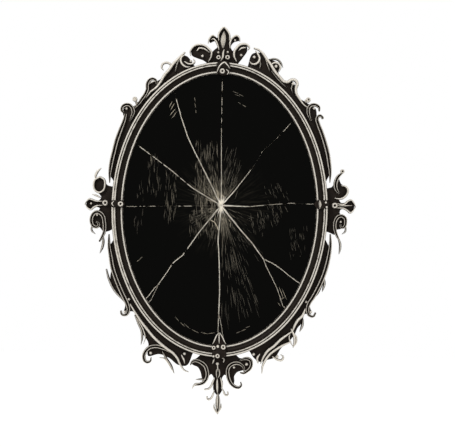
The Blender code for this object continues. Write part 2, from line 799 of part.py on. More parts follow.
def add_carving(name, mesh, carving, material):
    mesh.materials.append(material)
    obj = bpy.data.objects.new(name, mesh)
    carving.objects.link(obj)
    helper(obj)


POINTED = (0.6, 0.15)
FLOWING = (0.5, 0.3)

# Each strand: section, half width, share of the rise, end widths, knots. Each bead: place and
# radius. All are in carving units.

CREST_EDGE = (
    (-29, 0.3), (-36, 8), (-46, 15), (-54, 24), (-52, 34), (-44, 38.5), (-35, 37), (-25, 29),
    (-20, 21), (-14, 26), (-8, 32), (-12, 43), (-20, 41), (-20, 48), (-14, 53), (-8, 50), (-5, 58),
    (2, 68), (8, 60), (12, 49), (17, 51), (22, 55), (26, 48), (18, 42), (14, 33), (18, 25),
    (22, 24), (26, 33), (32, 39.5), (39, 40), (42, 32), (38, 16), (31, 0.3),
)
CREST_STRANDS = (
    (
        REED, 2.1, 1.0, (0.5, 0.5),
        ((-6, 44), (-6, 56), (-3, 64), (2, 70), (6, 65), (10, 57), (11, 45)),
    ),
    (ROUND, 5.6, 1.0, (0.3, 0.1), ((1, 30), (1, 41), (1.5, 51), (2, 62))),
    (REED, 1.9, 0.9, POINTED, ((-6, 26), (-8, 36), (-11, 44), (-14, 47.5), (-18, 46))),
    (REED, 1.9, 0.9, SOFT, ((-23, 40), (-20, 49), (-15, 54.5), (-10, 51))),
    (REED, 2.3, 0.9, SOFT, ((13, 29), (12, 40), (14, 48), (18, 54), (21, 56), (25, 53), (27, 46))),
    (
        REED, 2.3, 1.0, SOFT,
        ((-27, 3), (-20.5, 13), (-19, 21), (-23, 29), (-29, 36), (-37, 40), (-45, 40), (-51, 36),
         (-55, 31), (-56, 24)),
    ),
    (REED, 2.0, 0.8, (0.2, 0.8), ((-23, 21), (-27, 26.5), (-33, 31.5), (-39, 33), (-43, 29.5))),
    (
        REED, 2.8, 1.0, SOFT,
        ((28, 5), (22, 14), (21, 24), (24, 32), (28, 38.5), (34, 42), (40, 42), (44, 38), (43, 33)),
    ),
    (REED, 2.1, 0.8, (0.3, 0.7), ((28, 27), (32, 33), (38, 36))),
    (REED, 2.4, 0.9, SOFT, ((3, 26), (1.5, 18), (1, 10), (-3, 3))),
)
CREST_BEADS = (
    (-7, 10, 4.0), (10, 10.5, 4.3), (-7, 20, 2.3), (9.5, 21, 2.2), (-36, 16.5, 2.8), (34, 19, 2.6),
    (19.5, 46, 2.0),
)

SHOULDER_LEFT_EDGE = (
    (30, 0.3), (66, 28), (95, 28), (140, 23), (179, 17), (224, 13), (276, 14), (309, 21),
    (355, 15), (430, 11),
    (486, 18), (510, 30), (545, 28), (579, 18), (643, 16), (782, 13), (932, 8), (960, 0.3),
)
SHOULDER_LEFT_STRANDS = (
    (
        REED, 3.2, 1.0, FLOWING,
        ((58, 34), (94, 29), (140, 23), (179, 17), (224, 13), (260, 8), (306, 5), (351, 7),
         (396, 6)),
    ),
    (LEAF, 2.4, 0.9, POINTED, ((85, 28), (113, 22), (138, 14), (158, 6))),
    (REED, 2.4, 0.9, FLOWING, ((166, 17), (158, 26), (170, 32), (191, 34), (208, 29), (208, 23))),
    (
        BAND, 3.6, 1.0, FLOWING,
        ((288, 10), (279, 17), (287, 23), (309, 25), (332, 22), (355, 15), (383, 12), (418, 11),
         (456, 11), (500, 14)),
    ),
    (
        BAND, 3.6, 1.0, FLOWING,
        ((545, 26), (538, 32), (522, 34), (500, 31), (489, 24), (495, 16), (513, 10), (541, 8),
         (571, 7)),
    ),
    (
        BAND, 4.6, 1.0, POINTED,
        ((548, 21), (579, 18), (643, 16), (707, 15), (782, 13), (858, 12), (932, 10), (972, 8)),
    ),
    (REED, 2.6, 0.9, FLOWING, ((66, 29), (86, 27), (98, 20), (96, 12), (81, 5), (58, 3))),
    (REED, 2.2, 0.8, FLOWING, ((80, 17), (60, 9), (39, 7), (24, 10), (26, 16))),
    (LEAF, 2.4, 0.9, POINTED, ((474, 11), (456, 15), (446, 24))),
)
SHOULDER_LEFT_BEADS = ((444, 22, 3.2), (44, 13, 2.6), (516, 25, 2.4))

SHOULDER_RIGHT_EDGE = (
    (20, 0.3), (26, 30), (60, 36), (100, 31), (130, 34), (180, 34), (200, 20), (260, 13),
    (290, 24), (330, 22),
    (380, 13), (445, 20), (500, 28), (545, 22), (585, 19), (642, 18), (768, 14), (900, 9),
    (940, 0.3),
)
SHOULDER_RIGHT_STRANDS = (
    (
        REED, 3.4, 1.0, FLOWING,
        ((22, 40), (48, 40), (71, 37), (100, 31), (135, 25), (182, 17), (224, 14), (260, 13),
         (277, 17), (283, 25), (297, 30), (320, 29), (336, 20), (359, 14), (399, 12), (439, 12),
         (475, 16)),
    ),
    (LEAF, 2.4, 0.9, POINTED, ((164, 14), (213, 9), (259, 7), (303, 8))),
    (LEAF, 2.4, 0.9, POINTED, ((304, 23), (319, 13), (345, 9))),
    (LEAF, 2.4, 0.9, POINTED, ((88, 33), (105, 27), (128, 19), (156, 12))),
    (
        REED, 2.6, 0.9, FLOWING,
        ((34, 36), (52, 31), (68, 25), (69, 16), (55, 10), (36, 9), (22, 12)),
    ),
    (LEAF, 2.4, 0.8, POINTED, ((78, 20), (88, 14), (94, 6))),
    (REED, 2.4, 0.9, FLOWING, ((140, 24), (153, 32), (173, 34), (190, 31), (199, 22))),
    (LEAF, 2.2, 0.8, POINTED, ((118, 32), (140, 38), (160, 40), (182, 38), (204, 33))),
    (
        BAND, 3.6, 1.0, FLOWING,
        ((520, 32), (502, 35), (482, 32), (469, 25), (472, 17), (490, 12), (515, 9), (548, 8)),
    ),
    (
        BAND, 4.6, 1.0, POINTED,
        ((566, 31), (552, 31), (544, 25), (557, 20), (585, 18), (642, 17), (702, 16), (768, 15),
         (835, 13), (897, 11), (948, 8)),
    ),
)
SHOULDER_RIGHT_BEADS = (
    (306, 22, 3.0), (38, 23, 3.0), (169, 27, 3.2), (432, 21, 3.4), (493, 25, 2.6),
)

FLANK_LEFT_EDGE = (
    (925, 0.3), (890, 10), (760, 16), (700, 25), (604, 24), (520, 20), (488, 29), (466, 14),
    (394, 14), (335, 24),
    (268, 30), (222, 50), (182, 34), (121, 30), (66, 34), (26, 30), (10, 0.3),
)
FLANK_LEFT_STRANDS = (
    (
        BAND, 4.6, 1.0, (0.3, 0.4),
        ((960, 8), (890, 11), (828, 12), (760, 14), (690, 14), (625, 14), (565, 14), (519, 15),
         (485, 19), (470, 28), (484, 35), (503, 33)),
    ),
    (LEAF, 2.6, 0.9, POINTED, ((758, 27), (700, 28), (646, 27), (604, 24), (567, 20), (530, 18))),
    (
        REED, 3.4, 1.0, FLOWING,
        ((510, 10), (453, 10), (394, 11), (328, 12), (268, 14), (214, 15), (162, 16), (121, 17),
         (86, 22), (57, 31), (27, 39), (4, 40)),
    ),
    (LEAF, 2.6, 0.9, POINTED, ((439, 14), (388, 18), (341, 23), (310, 32), (289, 43))),
    (
        BAND, 3.8, 1.0, FLOWING,
        ((140, 18), (180, 19), (219, 24), (244, 34), (248, 46), (236, 57), (213, 62), (198, 56),
         (206, 49)),
    ),
    (LEAF, 2.6, 0.9, POINTED, ((175, 26), (135, 34), (100, 41), (66, 53))),
    (REED, 2.4, 0.9, FLOWING, ((72, 13), (50, 19), (36, 26))),
)
FLANK_LEFT_BEADS = ((222, 42, 3.0), (488, 27, 2.6), (58, 8, 3.0), (540, 7, 2.6))

FLANK_RIGHT_EDGE = (
    (952, 0.3), (900, 12), (792, 15), (691, 20), (620, 20), (539, 14), (495, 26), (470, 16),
    (430, 22), (380, 22),
    (345, 26), (300, 28), (240, 28), (175, 36), (129, 32), (98, 30), (80, 22), (64, 0.3),
)
FLANK_RIGHT_STRANDS = (
    (
        BAND, 4.6, 1.0, (0.3, 0.4),
        ((985, 9), (934, 12), (860, 14), (792, 15), (718, 15), (645, 14), (583, 13), (539, 12),
         (502, 16), (482, 25), (488, 33), (512, 33)),
    ),
    (LEAF, 2.8, 0.9, POINTED, ((720, 17), (691, 22), (638, 25))),
    (REED, 3.4, 1.0, FLOWING, ((500, 11), (457, 14), (419, 12), (382, 14), (345, 19))),
    (REED, 2.8, 0.9, POINTED, ((352, 14), (338, 26), (316, 36), (286, 43))),
    (LEAF, 2.8, 0.9, POINTED, ((440, 20), (410, 26), (374, 30))),
    (
        REED, 3.2, 1.0, FLOWING,
        ((345, 18), (300, 15), (259, 14), (210, 16), (164, 17), (129, 23), (96, 33)),
    ),
    (
        REED, 2.8, 0.9, FLOWING,
        ((300, 31), (243, 25), (204, 24), (166, 25), (132, 30), (103, 38), (81, 52)),
    ),
    (REED, 2.6, 0.9, FLOWING, ((84, 30), (92, 20), (116, 15))),
    (REED, 2.4, 0.9, FLOWING, ((170, 32), (184, 43), (199, 48), (216, 45), (212, 38))),
)
FLANK_RIGHT_BEADS = ((504, 24, 2.6), (190, 37, 3.0), (82, 10, 3.0), (540, 5, 2.6))

PENDANT_EDGE = (
    (-33, 0.3), (-39, 9), (-44, 15), (-46, 22), (-42, 24), (-33, 26), (-27, 34), (-23, 46),
    (-20, 53), (-15, 51), (-13, 41), (-9, 36), (-5, 42), (-5, 56), (-4, 68), (2, 78), (8, 67),
    (8, 54), (9, 42), (13, 37), (17, 43), (19, 53), (24, 60), (27, 52), (28, 42), (34, 35),
    (43, 34), (52, 35), (58, 27), (59, 18), (51, 12), (43, 8), (38, 0.3),
)
PENDANT_STRANDS = (
    (
        BAND, 3.8, 1.0, SOFT,
        ((-46, 25), (-45.5, 19.5), (-42, 15), (-37, 13.5), (-29, 15), (-21, 20), (-17, 28),
         (-15, 37), (-16, 46), (-19, 53), (-25, 58.5), (-32, 62)),
    ),
    (REED, 1.9, 0.9, SOFT, ((-27, 57), (-31, 60), (-33, 65), (-34, 70))),
    (LEAF, 2.4, 0.9, POINTED, ((-17, 47), (-24, 48.5), (-32, 51))),
    (
        BAND, 3.8, 1.0, SOFT,
        ((45, 36), (46, 28), (43, 21.5), (36, 16.5), (29, 16.5), (22, 20.5), (18.5, 28), (18, 37),
         (19, 47), (22, 56), (27, 63), (32, 65.5), (36, 62), (36, 56)),
    ),
    (
        BAND, 3.4, 1.0, SOFT,
        ((43, 13), (51, 12), (57.5, 14), (61.5, 19), (61, 26), (57, 33), (50, 37.5), (43, 39.5),
         (38.5, 37)),
    ),
    (REED, 2.2, 0.9, SOFT, ((-5, 2.5), (-6, 7), (-8, 14))),
    (REED, 2.2, 0.9, SOFT, ((9, 2.5), (13.5, 5), (12, 12))),
    (REED, 1.8, 0.9, SOFT, ((1, 14), (1.5, 21), (2, 30))),
    (BAND, 4.8, 1.0, (0.9, 0.15), ((2, 27), (2, 36), (1, 44))),
    (REED, 3.0, 1.0, (0.4, 0.15), ((1, 45), (1, 58), (1.5, 73))),
    (REED, 2.2, 0.9, (0.3, 0.6), ((-3, 42), (-6, 52), (-8, 60), (-11, 65), (-17, 67.5))),
    (REED, 2.4, 0.9, SOFT, ((6, 42), (8, 52), (8, 63))),
    (REED, 2.0, 0.9, (0.4, 0.8), ((-3, 67), (-5, 78), (-7.5, 84.5), (-11, 86.5), (-12.5, 81))),
    (REED, 2.0, 0.9, (0.4, 0.8), ((7, 62), (10, 70), (12, 77), (15.5, 77.5), (15.5, 71.5))),
    (BAND, 5.2, 0.9, (0.3, 0.1), ((2, 74), (2, 90), (2, 101), (2, 115))),
    (REED, 1.9, 1.0, (0.4, 0.3), ((1.5, 75), (1.5, 90), (2, 104))),
)
PENDANT_BEADS = ((52.5, 24, 3.0), (1, 14, 3.3), (30, 24, 2.3))

SIDE_LEFT_EDGE = (
    (42, 0.3), (44, 12), (52, 20), (55, 30), (46, 37), (34, 36), (26, 27), (19, 22), (13, 27),
    (15, 38), (14, 45), (6, 51), (-2, 46), (-3, 40), (1, 32), (-2, 24), (-6, 27), (-12, 36),
    (-24, 41), (-35, 37), (-37, 26), (-46, 18), (-46, 8), (-43, 0.3),
)
SIDE_LEFT_STRANDS = (
    (
        REED, 2.1, 1.0, (1.0, 1.0),
        ((57, 28.5), (53.5, 20), (43, 16.5), (33, 18.5), (28, 27), (32, 35.5), (41, 39), (51, 37),
         (56.5, 29.5)),
    ),
    (REED, 2.6, 0.9, (0.3, 0.15), ((51, 37), (58, 38), (66, 35.5), (74, 29.5))),
    (REED, 2.1, 0.9, SOFT, ((23.5, 40), (22, 32), (18, 22))),
    (REED, 1.8, 1.0, SOFT, ((12, 18), (12, 32), (14, 39), (15, 45), (11, 50), (5, 54))),
    (REED, 1.8, 1.0, SOFT, ((4, 18), (3, 30), (0, 36), (-4, 41.5), (-1, 48), (6, 53))),
    (
        BAND, 3.9, 1.0, (0.4, 0.5),
        ((-27, 31), (-29, 27), (-34, 27), (-36.5, 32), (-34, 37.5), (-28, 40.5), (-20, 40.5),
         (-13, 37), (-8.5, 30), (-11, 22), (-18, 16.5), (-28, 15), (-38, 15), (-48, 17.5),
         (-56, 22.5), (-63, 28.5)),
    ),
    (LEAF, 2.8, 0.9, (0.3, 0.2), ((-53, 20), (-64, 21), (-75, 25), (-85, 32))),
    (LEAF, 2.0, 0.7, POINTED, ((-31, 40), (-42, 41.5), (-49, 35))),
)
SIDE_LEFT_BEADS = ((9, 13, 5.0), (7, 41, 2.2), (-14, 29, 2.2))

SIDE_RIGHT_EDGE = (
    (46, 0.3), (48, 11), (57, 18), (62, 26), (52, 30), (44, 39), (36, 40), (28, 34), (23, 24),
    (17, 27), (17, 37), (20, 46), (10, 54), (0, 46), (4, 37), (3, 26), (-3, 25), (-7, 32),
    (-14, 37), (-25, 36), (-32, 29), (-36, 19), (-44, 18), (-42, 8), (-40, 0.3),
)
SIDE_RIGHT_STRANDS = (
    (
        BAND, 4.0, 1.0, (0.5, 0.3),
        ((71, 34.5), (66, 26.5), (58, 20.5), (50, 18), (42, 19), (34, 24)),
    ),
    (
        REED, 2.4, 1.0, SOFT,
        ((48, 30), (46.5, 37), (40, 42), (34, 41), (29, 37), (25, 31), (24, 23), (26, 15)),
    ),
    (REED, 1.8, 1.0, SOFT, ((15, 18), (14, 34), (19, 41), (21, 47), (15, 53), (8, 56.5))),
    (REED, 1.8, 1.0, SOFT, ((7, 18), (6, 32), (2, 40), (-2, 45), (3, 52), (9, 56))),
    (REED, 1.5, 0.9, SOFT, ((11, 20), (11, 36), (11, 49))),
    (
        BAND, 3.6, 1.0, (0.4, 0.4),
        ((-24, 27), (-28.5, 27.5), (-30, 32), (-26, 36), (-19, 37), (-12, 35.5), (-8, 29),
         (-9.5, 22), (-16, 17), (-25, 15.5), (-36, 17.5), (-45, 22), (-54, 29)),
    ),
    (LEAF, 2.6, 0.9, (0.4, 0.2), ((-49, 25), (-59, 31), (-69, 33), (-79, 33))),
    (LEAF, 2.0, 0.8, POINTED, ((-26, 38), (-36, 38), (-42, 32))),
)
SIDE_RIGHT_BEADS = ((74, 36, 3.8), (11.5, 14.5, 5.0), (-19, 27, 2.2))


CASTINGS = {
    "crest": (vertical_axis(1), CREST_EDGE, CREST_STRANDS, CREST_BEADS),
    "pendant": (vertical_axis(-1), PENDANT_EDGE, PENDANT_STRANDS, PENDANT_BEADS),
    "side_left": (horizontal_axis(-1), SIDE_LEFT_EDGE, SIDE_LEFT_STRANDS, SIDE_LEFT_BEADS),
    "side_right": (horizontal_axis(1), SIDE_RIGHT_EDGE, SIDE_RIGHT_STRANDS, SIDE_RIGHT_BEADS),
    "shoulder_left": (
        quadrant(-1, 1), SHOULDER_LEFT_EDGE, SHOULDER_LEFT_STRANDS, SHOULDER_LEFT_BEADS,
    ),
    "shoulder_right": (
        quadrant(1, 1), SHOULDER_RIGHT_EDGE, SHOULDER_RIGHT_STRANDS, SHOULDER_RIGHT_BEADS,
    ),
    "flank_left": (quadrant(-1, -1), FLANK_LEFT_EDGE, FLANK_LEFT_STRANDS, FLANK_LEFT_BEADS),
    "flank_right": (quadrant(1, -1), FLANK_RIGHT_EDGE, FLANK_RIGHT_STRANDS, FLANK_RIGHT_BEADS),
}


def main():
    clear_scene()
    ebonised = finish("Ebonised wood", (0.035, 0.026, 0.019), 0.0, 0.45)
    gilt = finish("Champagne gilt composition", (0.56, 0.50, 0.40), 0.35, 0.5)
    silvered = finish("Blackened mirror glass", (0.012, 0.012, 0.014), 0.6, 0.08)
    crushed = finish("Crushed glass", (0.75, 0.74, 0.71), 0.0, 0.7)
    steel = finish("Zinc plated steel", (0.42, 0.41, 0.39), 1.0, 0.4)
    screw_steel = finish("Steel screw", (0.36, 0.35, 0.33), 1.0, 0.35)
    board = finish("Hardboard", (0.20, 0.12, 0.065), 0.0, 0.85)

    moulding = node("oval_moulding", ring_mesh(moulding_profile()), ebonised)
    board_outline = [
        oval_point(angle, REBATE_WIDTH - EDGE_CLEARANCE)
        for angle in np.linspace(0.0, math.tau, OVAL_STEPS, endpoint=False)
    ]
    board_front = LEDGE_DEPTH + BOARD_THICKNESS
    node("backing_board", slab(board_outline, LEDGE_DEPTH, board_front), board)
    for name, chains in SHARDS.items():
        stem = FORK_STARTS.get(name)
        start = pane_point(*(CRACKS[stem][-1] if stem else IMPACT))
        node(name, shard_mesh(start, chains, stem is None), silvered)
    node("crushed_glass", crushed_core_mesh(), crushed)
    add_clips(moulding, steel, screw_steel)
    add_hanger(moulding, steel, screw_steel)
    add_clasps(gilt)
    for name, (place, edge, strands, beads) in CASTINGS.items():
        casting(name, place, edge, strands, beads, gilt)


main()
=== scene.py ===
"""An oval rococo wall mirror with its pane shattered by one blow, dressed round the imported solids.

Metres, +Z up. The origin is the oval's centre on the wall plane and the mirror faces -Y, so a
height above the wall of 0.020 lies at Y = -0.020.
"""

import math
import random

import bmesh
import bpy
import numpy as np
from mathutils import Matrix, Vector, noise


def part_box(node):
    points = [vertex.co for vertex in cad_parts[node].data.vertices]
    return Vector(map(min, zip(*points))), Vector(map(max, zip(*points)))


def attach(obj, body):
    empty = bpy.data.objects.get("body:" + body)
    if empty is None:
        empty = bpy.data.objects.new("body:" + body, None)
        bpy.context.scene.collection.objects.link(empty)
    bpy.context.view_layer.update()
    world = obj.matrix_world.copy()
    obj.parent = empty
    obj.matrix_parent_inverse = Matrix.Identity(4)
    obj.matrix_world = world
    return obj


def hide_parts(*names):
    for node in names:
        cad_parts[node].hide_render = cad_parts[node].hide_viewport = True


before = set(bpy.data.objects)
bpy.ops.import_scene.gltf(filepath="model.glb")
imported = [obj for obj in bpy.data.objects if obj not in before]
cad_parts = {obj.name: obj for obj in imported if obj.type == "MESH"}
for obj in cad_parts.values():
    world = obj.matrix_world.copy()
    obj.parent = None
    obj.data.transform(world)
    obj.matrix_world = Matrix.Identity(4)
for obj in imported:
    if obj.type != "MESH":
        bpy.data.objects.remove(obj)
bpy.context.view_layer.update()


# The moulding: one run of ebonised pearwood bent round the oval, worked with two astragal
# beads, a deep cove, a fillet and a sight bead. Along its beads' crowns the black carries a
# pale gilt painted highlight, broken into patches and nicks.

MOULDING_WIDTH = 0.023
MOULDING_DEPTH = 0.024
BEAD_RADIUS = 0.0021
BEAD_PITCH = 0.0046
COVE_RADIUS = 0.0073
FILLET_WIDTH = 0.0014
LIP_THICKNESS = 0.0022
GLASS_THICKNESS = 0.003
BOARD_THICKNESS = 0.003
REBATE_WIDTH = 0.007
LEDGE_WIDTH = 0.006
LEDGE_DEPTH = 0.0044
SEAT_GAP = 0.0003
MOULDING_STEPS = 480
ARRIS = 0.0006
# The worked face is hand planed, so it sways a little about every 22 mm
FACE_HEIGHT = 0.0125
FACE_SWAY = 0.00018
SWAYS_PER_METRE = 45
# The gilt painted highlight is whole on a bead's crown and gone this many degrees from it,
# fading over the rest
GILT_HIGHLIGHT_REACH = 54
GILT_HIGHLIGHT_FADE = 26
WEAKER_HIGHLIGHT_SHARE = 0.56

moulding_low, moulding_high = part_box("oval_moulding")
OPENING_HALF_WIDTH = (moulding_high.x - moulding_low.x) / 2 - MOULDING_WIDTH
OPENING_HALF_HEIGHT = (moulding_high.z - moulding_low.z) / 2 - MOULDING_WIDTH


def linear(hex_colour):
    """The linear colour of an sRGB hex value."""
    channels = [int(hex_colour[i : i + 2], 16) / 255 for i in (1, 3, 5)]
    return (*[c / 12.92 if c <= 0.04045 else ((c + 0.055) / 1.055) ** 2.4 for c in channels], 1.0)


def feed(tree, node, links):
    """Links into a node's inputs: each source is a socket, or a node with one live output."""
    for key, source in links.items():
        if isinstance(source, bpy.types.Node):
            source = next(output for output in source.outputs if output.enabled)
        tree.links.new(source, node.inputs[key])


def put(tree, kind, settings=None, links=None):
    """Adds a node, sets its values and links what feeds it (6 and 7 are a Mix's two colours)."""
    added = tree.nodes.new("ShaderNode" + kind)
    for key, value in (settings or {}).items():
        if isinstance(key, int) or key in added.inputs:
            added.inputs[key].default_value = value
        else:
            setattr(added, key, value)
    feed(tree, added, links or {})
    return added


def oval_normal(angle):
    """The way straight out from the oval's edge."""
    across = OPENING_HALF_HEIGHT * math.cos(angle)
    return Vector((across, OPENING_HALF_WIDTH * math.sin(angle))).normalized()


def oval_point(angle, outward):
    """A point of the mirror's own plane, measured outward from the opening's edge."""
    edge = Vector((OPENING_HALF_WIDTH * math.cos(angle), OPENING_HALF_HEIGHT * math.sin(angle)))
    return edge + oval_normal(angle) * outward


def at(point, height):
    """The place in space of a point of the mirror's plane, this high above the wall."""
    return Vector((point.x, -height, point.y))


class Shell:
    """Collects closed skins, with the share of gilt painted highlight at each of their points.

    On the broken glass, which has no gilding, the same mark says how pale a scuff is.
    """

    def __init__(self):
        self.points = []
        self.faces = []
        self.gilt = []
        self.finishes = []

    def add_points(self, points, gilt=0.0):
        """Adds points, with one share of gilt painted highlight for them all or a list with one for
        each.
        """
        start = len(self.points)
        self.points += points
        self.gilt += gilt if isinstance(gilt, list) else [gilt] * len(points)
        return list(range(start, len(self.points)))

    def add_face(self, corners, finish=0):
        self.faces.append(corners)
        self.finishes.append(finish)

    def join(self, rows, closed_rows=False, finish=0):
        """Faces between rows of equal count, each row a closed ring."""
        count = len(rows[0])
        for row, following in zip(rows, rows[1:] + (rows[:1] if closed_rows else [])):
            for i in range(count):
                j = (i + 1) % count
                self.add_face((row[i], row[j], following[j], following[i]), finish)

    def loft(self, rows):
        """A closed skin through the rows, capped at both ends."""
        self.join(rows)
        self.add_face(rows[0])
        self.add_face(rows[-1])

    def piece(self, name, materials, sharp_degrees=35):
        """Turns the skins into one object that rides with the mirror."""
        mesh = bpy.data.meshes.new(name)
        mesh.from_pydata(self.points, [], self.faces)
        marks = mesh.attributes.new("gilt", "FLOAT", "POINT")
        marks.data.foreach_set("value", self.gilt)
        mesh.polygons.foreach_set("material_index", self.finishes)
        bm = bmesh.new()
        bm.from_mesh(mesh)
        bmesh.ops.recalc_face_normals(bm, faces=bm.faces)
        bm.to_mesh(mesh)
        bm.free()
        mesh.shade_smooth()
        mesh.set_sharp_from_angle(angle=math.radians(sharp_degrees))
        for material in materials:
            mesh.materials.append(material)
        obj = bpy.data.objects.new(name, mesh)
        bpy.context.scene.collection.objects.link(obj)
        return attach(obj, "root")


def arc(centre, radius, start, end, count, gilding):
    """Points of a circle in the profile, each (outward, height, gilt painted highlight at that
    angle).
    """
    return [
        (
            centre[0] + radius * math.cos(angle),
            centre[1] + radius * math.sin(angle),
            gilding(math.degrees(angle)),
        )
        for angle in np.radians(np.linspace(start, end, count))
    ]


def crown_gilt_highlight(degrees):
    """The gilt painted highlight: full on a bead's crown, gone at its quirks."""
    return max(0.0, min(1.0, (GILT_HIGHLIGHT_REACH - abs(degrees - 90)) / GILT_HIGHLIGHT_FADE))


def weaker_gilt_highlight(degrees):
    """The inner of the two outer beads gets a weaker gilt painted highlight, so its line is thin and
    broken.
    """
    return WEAKER_HIGHLIGHT_SHARE * crown_gilt_highlight(degrees)


def moulding_profile():
    """The section, from the back's outer corner over the face to the rebate and the ledge."""
    bead_height = MOULDING_DEPTH - BEAD_RADIUS
    first_bead = (MOULDING_WIDTH - BEAD_RADIUS, bead_height)
    second_bead = (first_bead[0] - BEAD_PITCH, bead_height)
    cove_foot = second_bead[0] - BEAD_RADIUS - COVE_RADIUS
    cove_floor = bead_height - COVE_RADIUS
    sight_bead = (cove_foot - FILLET_WIDTH - BEAD_RADIUS, cove_floor)
    lip_back = LEDGE_DEPTH + BOARD_THICKNESS + GLASS_THICKNESS + 2 * SEAT_GAP
    lip_front = lip_back + LIP_THICKNESS
    ledge = REBATE_WIDTH + LEDGE_WIDTH
    return [
        (MOULDING_WIDTH - ARRIS, 0.0, 0.0),
        (MOULDING_WIDTH, ARRIS, 0.0),
        (MOULDING_WIDTH, 0.0110, 0.0),
        (MOULDING_WIDTH, 0.0200, 0.1),
        # These gilt marks paint a highlight in gilt colour: full on the bead crowns, fainter on the
        # fillet and the lip's arris
        *arc(first_bead, BEAD_RADIUS, 0, 180, 15, crown_gilt_highlight),
        *arc(second_bead, BEAD_RADIUS, 0, 180, 15, weaker_gilt_highlight),
        *arc((cove_foot, bead_height), COVE_RADIUS, -8, -90, 14, lambda degrees: 0.0),
        (cove_foot - FILLET_WIDTH * 0.5, cove_floor, 0.2),
        *arc(sight_bead, BEAD_RADIUS, 0, 180, 15, crown_gilt_highlight),
        (ARRIS, lip_front + 0.0002, 0.42),
        (0.0, lip_front - ARRIS, 0.2),
        (0.0, lip_back, 0.0),
        (REBATE_WIDTH, lip_back, 0.0),
        (REBATE_WIDTH, LEDGE_DEPTH, 0.0),
        (ledge, LEDGE_DEPTH, 0.0),
        (ledge, ARRIS, 0.0),
        (ledge + ARRIS, 0.0, 0.0),
    ]


def new_material(name):
    """A material, the tree of its nodes and its shader."""
    material = bpy.data.materials.new(name)
    material.use_nodes = True
    return material, material.node_tree, material.node_tree.nodes["Principled BSDF"]


def worn_gilt_highlight_finish(name, ground_hex, ground_light_hex, gilt_hex, gilt_dull_hex, raw_hex, metallic):
    """Gilt painted highlight over a dark ground: whole where the gilt mark is high, gone elsewhere.

    The two colours of each layer vary in blotches about 9 mm across, the edge of the gilt
    highlight is broken up at about 1.5 mm, and a 0.5 mm grain roughens both. The face to the
    wall was never finished, so the raw stuff shows there through a thin dark wash.
    """
    material, tree, shader = new_material(name)
    shader.inputs["Metallic"].default_value = metallic
    shader.inputs["Specular IOR Level"].default_value = 0.1
    coordinates = put(tree, "TexCoord")
    place = coordinates.outputs["Object"]
    blotch = put(tree, "TexNoise", {"Scale": 1 / 0.009, "Detail": 3.0}, {"Vector": place})
    wear = put(
        tree, "TexNoise", {"Scale": 1 / 0.0015, "Detail": 4.0, "Roughness": 0.6}, {"Vector": place}
    )
    grain = put(tree, "TexNoise", {"Scale": 1 / 0.0005, "Detail": 2.0}, {"Vector": place})
    # the gilt mark says where the gilt painted highlight lies on the ridges
    mark = put(tree, "Attribute", {"attribute_name": "gilt"}).outputs["Fac"]
    rough_edge = put(tree, "Math", {"operation": "MULTIPLY_ADD", 1: 0.9}, {0: wear, 2: mark})
    blotched_edge = put(
        tree, "Math", {"operation": "MULTIPLY_ADD", 1: 0.5}, {0: blotch, 2: rough_edge}
    )
    cover = put(
        tree, "MapRange", {1: 0.98, 2: 1.32, "interpolation_type": "SMOOTHSTEP"}, {0: blotched_edge}
    )
    ground = put(
        tree,
        "Mix",
        {"data_type": "RGBA", 6: linear(ground_hex), 7: linear(ground_light_hex)},
        {0: blotch},
    )
    spread = put(tree, "MapRange", {1: 0.35, 2: 0.7}, {0: wear})
    gilt = put(
        tree,
        "Mix",
        {"data_type": "RGBA", 6: linear(gilt_hex), 7: linear(gilt_dull_hex)},
        {0: spread},
    )
    finished = put(tree, "Mix", {"data_type": "RGBA"}, {0: cover, 6: ground, 7: gilt})
    facing = put(tree, "SeparateXYZ", {}, {0: coordinates.outputs["Normal"]}).outputs["Y"]
    unfinished = put(tree, "MapRange", {1: 0.6, 2: 0.9}, {0: facing})
    washed = put(
        tree,
        "Mix",
        {"data_type": "RGBA", 6: linear(ground_light_hex), 7: linear(raw_hex)},
        {0: spread},
    )
    colour = put(tree, "Mix", {"data_type": "RGBA"}, {0: unfinished, 6: finished, 7: washed})
    roughness = put(tree, "MapRange", {1: 0.3, 2: 0.7, 3: 0.38, 4: 0.62}, {0: wear})
    height = put(tree, "Math", {"operation": "MULTIPLY_ADD", 1: 0.6}, {0: grain, 2: blotched_edge})
    bump = put(tree, "Bump", {"Strength": 0.35, "Distance": 0.0004}, {"Height": height})
    feed(tree, shader, {"Base Color": colour, "Roughness": roughness, "Normal": bump})
    return material


# Ebonised pearwood: black stain under shellac, so nearly black with a soft sheen, and a warm
# brown where the wood shows; a gilt painted highlight gives a broken cream line along each bead.
ebonised_wood = worn_gilt_highlight_finish(
    "Ebonised pearwood, gilt painted highlight",
    "#100c09", "#211a13", "#e3ded4", "#aca497", "#6b5039", 0.15,
)

# Between the two outer beads on the left, specks of the old gilding are left in the quirk
SPECKLED_GILT = 0.5
SPECKLED_MIDDLE = math.radians(188)
SPECKLED_SPREAD = math.radians(34)

